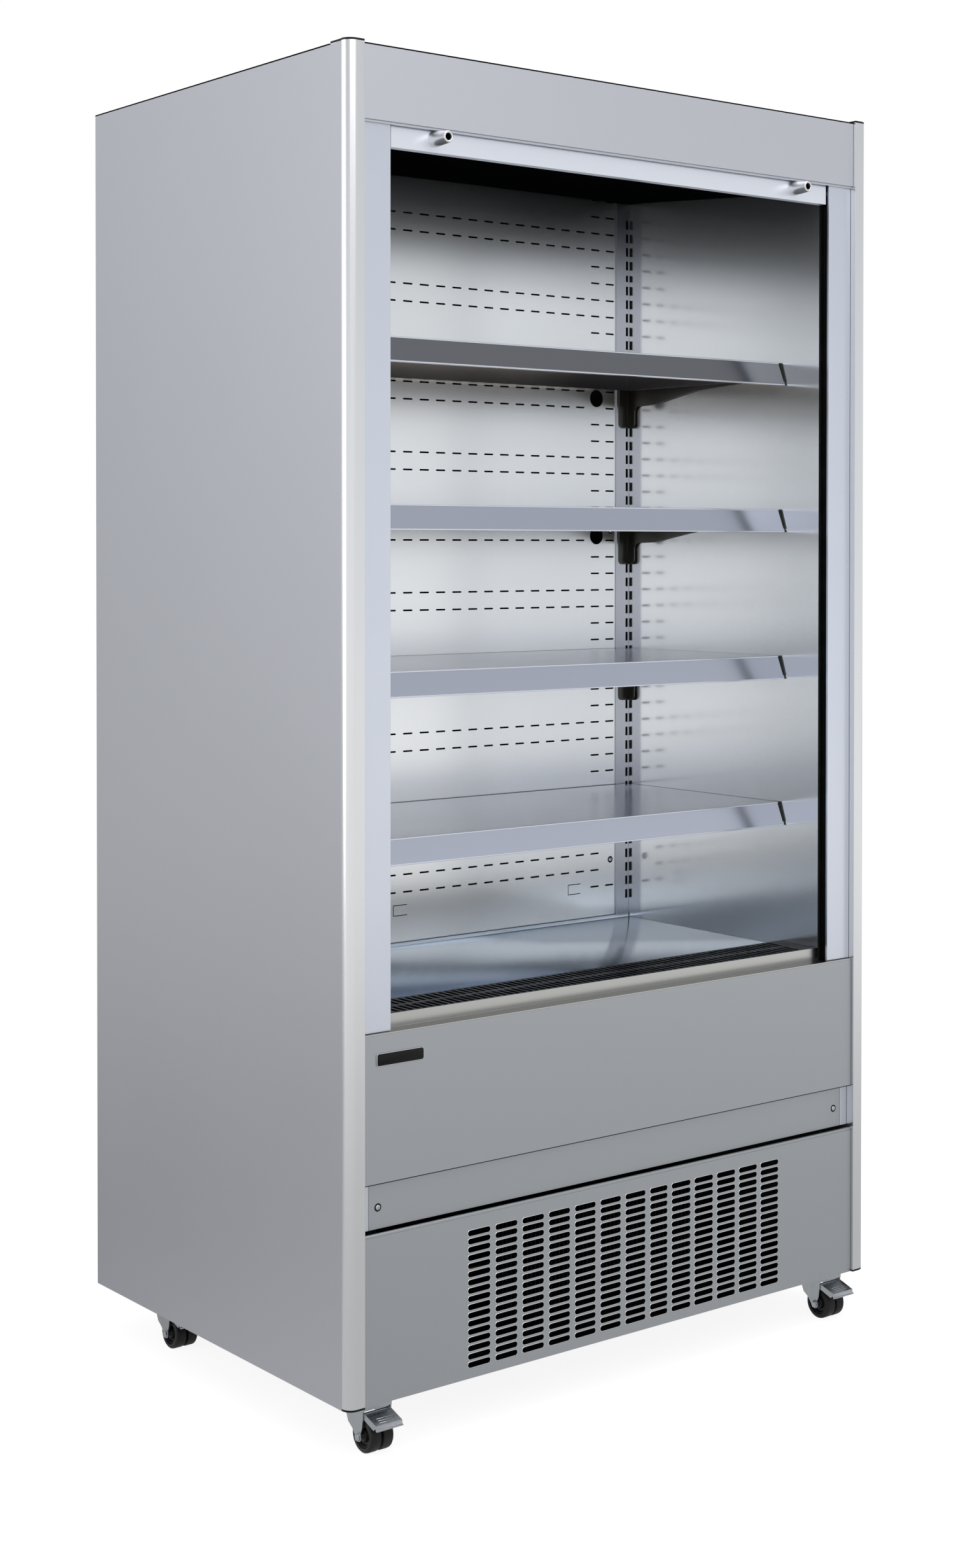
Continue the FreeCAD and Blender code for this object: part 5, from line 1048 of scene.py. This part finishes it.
def studio_world(level):
    """White to the camera, a soft studio in gloss, and a plain level of light for the rest.

    In gloss the front is bright and fades upwards; behind, the room darkens to the left.
    """
    world = bpy.data.worlds.new("Pale studio")
    bpy.context.scene.world = world
    world.use_nodes = True
    tree = world.node_tree
    tree.nodes.clear()
    parts = put(tree, "SeparateXYZ", in_0=put(tree, "TexCoord").outputs["Generated"]).outputs
    right = slope(tree, parts["Z"], 0.0, 0.28, 0.92, 0.6)
    left = slope(tree, parts["Z"], 0.04, 0.25, 1.0, 0.55)
    behind = maths(tree, "MULTIPLY", slope(tree, parts["Z"], 0.0, 0.2, 1.0, 1.2),
                   slope(tree, parts["Y"], 0.8, 0.93, 0.95, 0.33))
    leftness = slope(tree, parts["X"], -0.3, 0.3, 1.0, 0.0)
    backness = slope(tree, parts["Y"], 0.3, 0.6, 0.0, 1.0)
    front = put(tree, "Mix", data_type="FLOAT", in_Factor=leftness, in_A=right, in_B=left)
    room = put(tree, "Mix", data_type="FLOAT", in_Factor=backness, in_A=front.outputs[0],
               in_B=behind).outputs[0]
    white = put(tree, "Background", in_Color=WHITE, in_Strength=1.0)
    soft = put(tree, "Background", in_Color=COOL_WHITE, in_Strength=room)
    plain = put(tree, "Background", in_Color=COOL_WHITE, in_Strength=level)
    put(tree, "OutputWorld", in_0=by_ray(tree, white, soft, plain))


def floor_material():
    """White where it is looked at, with room left for a soft shadow; greyer near by in gloss."""
    made, tree, shader = blank_material("Pale floor")
    feed(tree, shader, {"Base Color": (0.2, 0.2, 0.2, 1.0), "Roughness": 0.9,
                        "Specular IOR Level": 0.0})
    glow = put(tree, "Emission", in_Color=WHITE, in_Strength=0.9)
    both = put(tree, "AddShader", in_0=glow.outputs[0], in_1=shader.outputs[0])
    where = on_piece(tree)
    away = put(tree, "VectorMath", operation="LENGTH", in_0=where).outputs["Value"]
    depth = put(tree, "SeparateXYZ", in_0=where).outputs["Y"]
    far = maths(tree, "MULTIPLY", slope(tree, away, 1.0, 6.0, 0.57, 1.0),
                slope(tree, depth, -0.2, 1.0, 1.0, 0.6))
    sheen = put(tree, "Emission", in_Color=WHITE, in_Strength=far)
    pale = put(tree, "BsdfDiffuse", in_Color=(0.8, 0.8, 0.8, 1.0))
    feed(tree, tree.nodes["Material Output"], {"Surface": by_ray(tree, both, sheen, pale)})
    return made


def area_light(name, place, target, width, height, power):
    data = bpy.data.lights.new(name, "AREA")
    data.shape = "RECTANGLE"
    data.size, data.size_y = width, height
    data.energy = power
    lamp = bpy.data.objects.new(name, data)
    bpy.context.scene.collection.objects.link(lamp)
    lamp.location = place
    facing = Vector(target) - Vector(place)
    lamp.rotation_euler = facing.to_track_quat("-Z", "Y").to_euler()


class FRIDGE_OT_stage(bpy.types.Operator):
    """Pale floor, soft lights and the camera"""
    bl_idname = "fridge.stage"
    bl_label = "Stage"

    def execute(self, context):
        s = context.scene.fridge_studio
        bm = bmesh.new()
        bmesh.ops.create_grid(bm, x_segments=1, y_segments=1, size=FLOOR_SIZE)
        mesh = bpy.data.meshes.new("floor")
        bm.to_mesh(mesh)
        bm.free()
        floor = bpy.data.objects.new("floor", mesh)
        context.scene.collection.objects.link(floor)
        floor.data.materials.append(floor_material())
        studio_world(s.ambient)
        area_light("key", (-1.0, -4.0, 4.0), (0.0, 0.0, 1.0), 5.0, 3.0, s.key)
        area_light("side", (-4.0, 0.6, 1.8), (0.0, 0.0, 1.0), 1.6, 2.6, s.side)
        area_light("top", (0.4, -1.0, 4.2), (0.0, -0.2, 0.0), 3.0, 2.0, s.top)
        data = bpy.data.cameras.new("photo view")
        data.sensor_fit = "AUTO"
        data.sensor_width = 36.0
        data.lens = s.lens
        data.shift_y = s.rise
        data.clip_end = 60.0
        camera = bpy.data.objects.new("photo view", data)
        context.scene.collection.objects.link(camera)
        camera.location = s.eye
        camera.rotation_euler = (math.pi / 2 + s.pitch, s.roll, -s.yaw)
        context.scene.camera = camera
        context.scene.view_settings.view_transform = "Standard"
        return {"FINISHED"}


OPERATORS = (FRIDGE_OT_stage, FRIDGE_OT_casing, FRIDGE_OT_lower_front, FRIDGE_OT_opening,
             FRIDGE_OT_cold_space, FRIDGE_OT_shelves, FRIDGE_OT_night_blind,
             FRIDGE_OT_castors, FRIDGE_OT_machinery)


class FRIDGE_PT_panel(bpy.types.Panel):
    """Lists the fridge's pieces and what may be changed"""
    bl_idname = "FRIDGE_PT_panel"
    bl_label = "Display fridge"
    bl_space_type = "VIEW_3D"
    bl_region_type = "UI"
    bl_category = "Fridge"

    def draw(self, context):
        layout = self.layout
        for operator in OPERATORS:
            layout.operator(operator.bl_idname, text=operator.bl_label)
        for group in (context.scene.fridge_colours, context.scene.fridge_details,
                      context.scene.fridge_studio):
            box = layout.box()
            for key in group.__annotations__:
                box.prop(group, key)


SETTINGS = {"fridge_colours": FridgeColours, "fridge_details": FridgeDetails,
            "fridge_studio": FridgeStudio}


def register():
    for group in SETTINGS.values():
        bpy.utils.register_class(group)
    for name, group in SETTINGS.items():
        setattr(bpy.types.Scene, name, PointerProperty(type=group))
    for operator in OPERATORS:
        bpy.utils.register_class(operator)
    bpy.utils.register_class(FRIDGE_PT_panel)


def unregister():
    bpy.utils.unregister_class(FRIDGE_PT_panel)
    for operator in reversed(OPERATORS):
        bpy.utils.unregister_class(operator)
    for name in SETTINGS:
        delattr(bpy.types.Scene, name)
    for group in SETTINGS.values():
        bpy.utils.unregister_class(group)


def main():
    register()
    for operator in OPERATORS:
        area, name = operator.bl_idname.split(".")
        getattr(getattr(bpy.ops, area), name)()


if __name__ == "__main__":
    main()
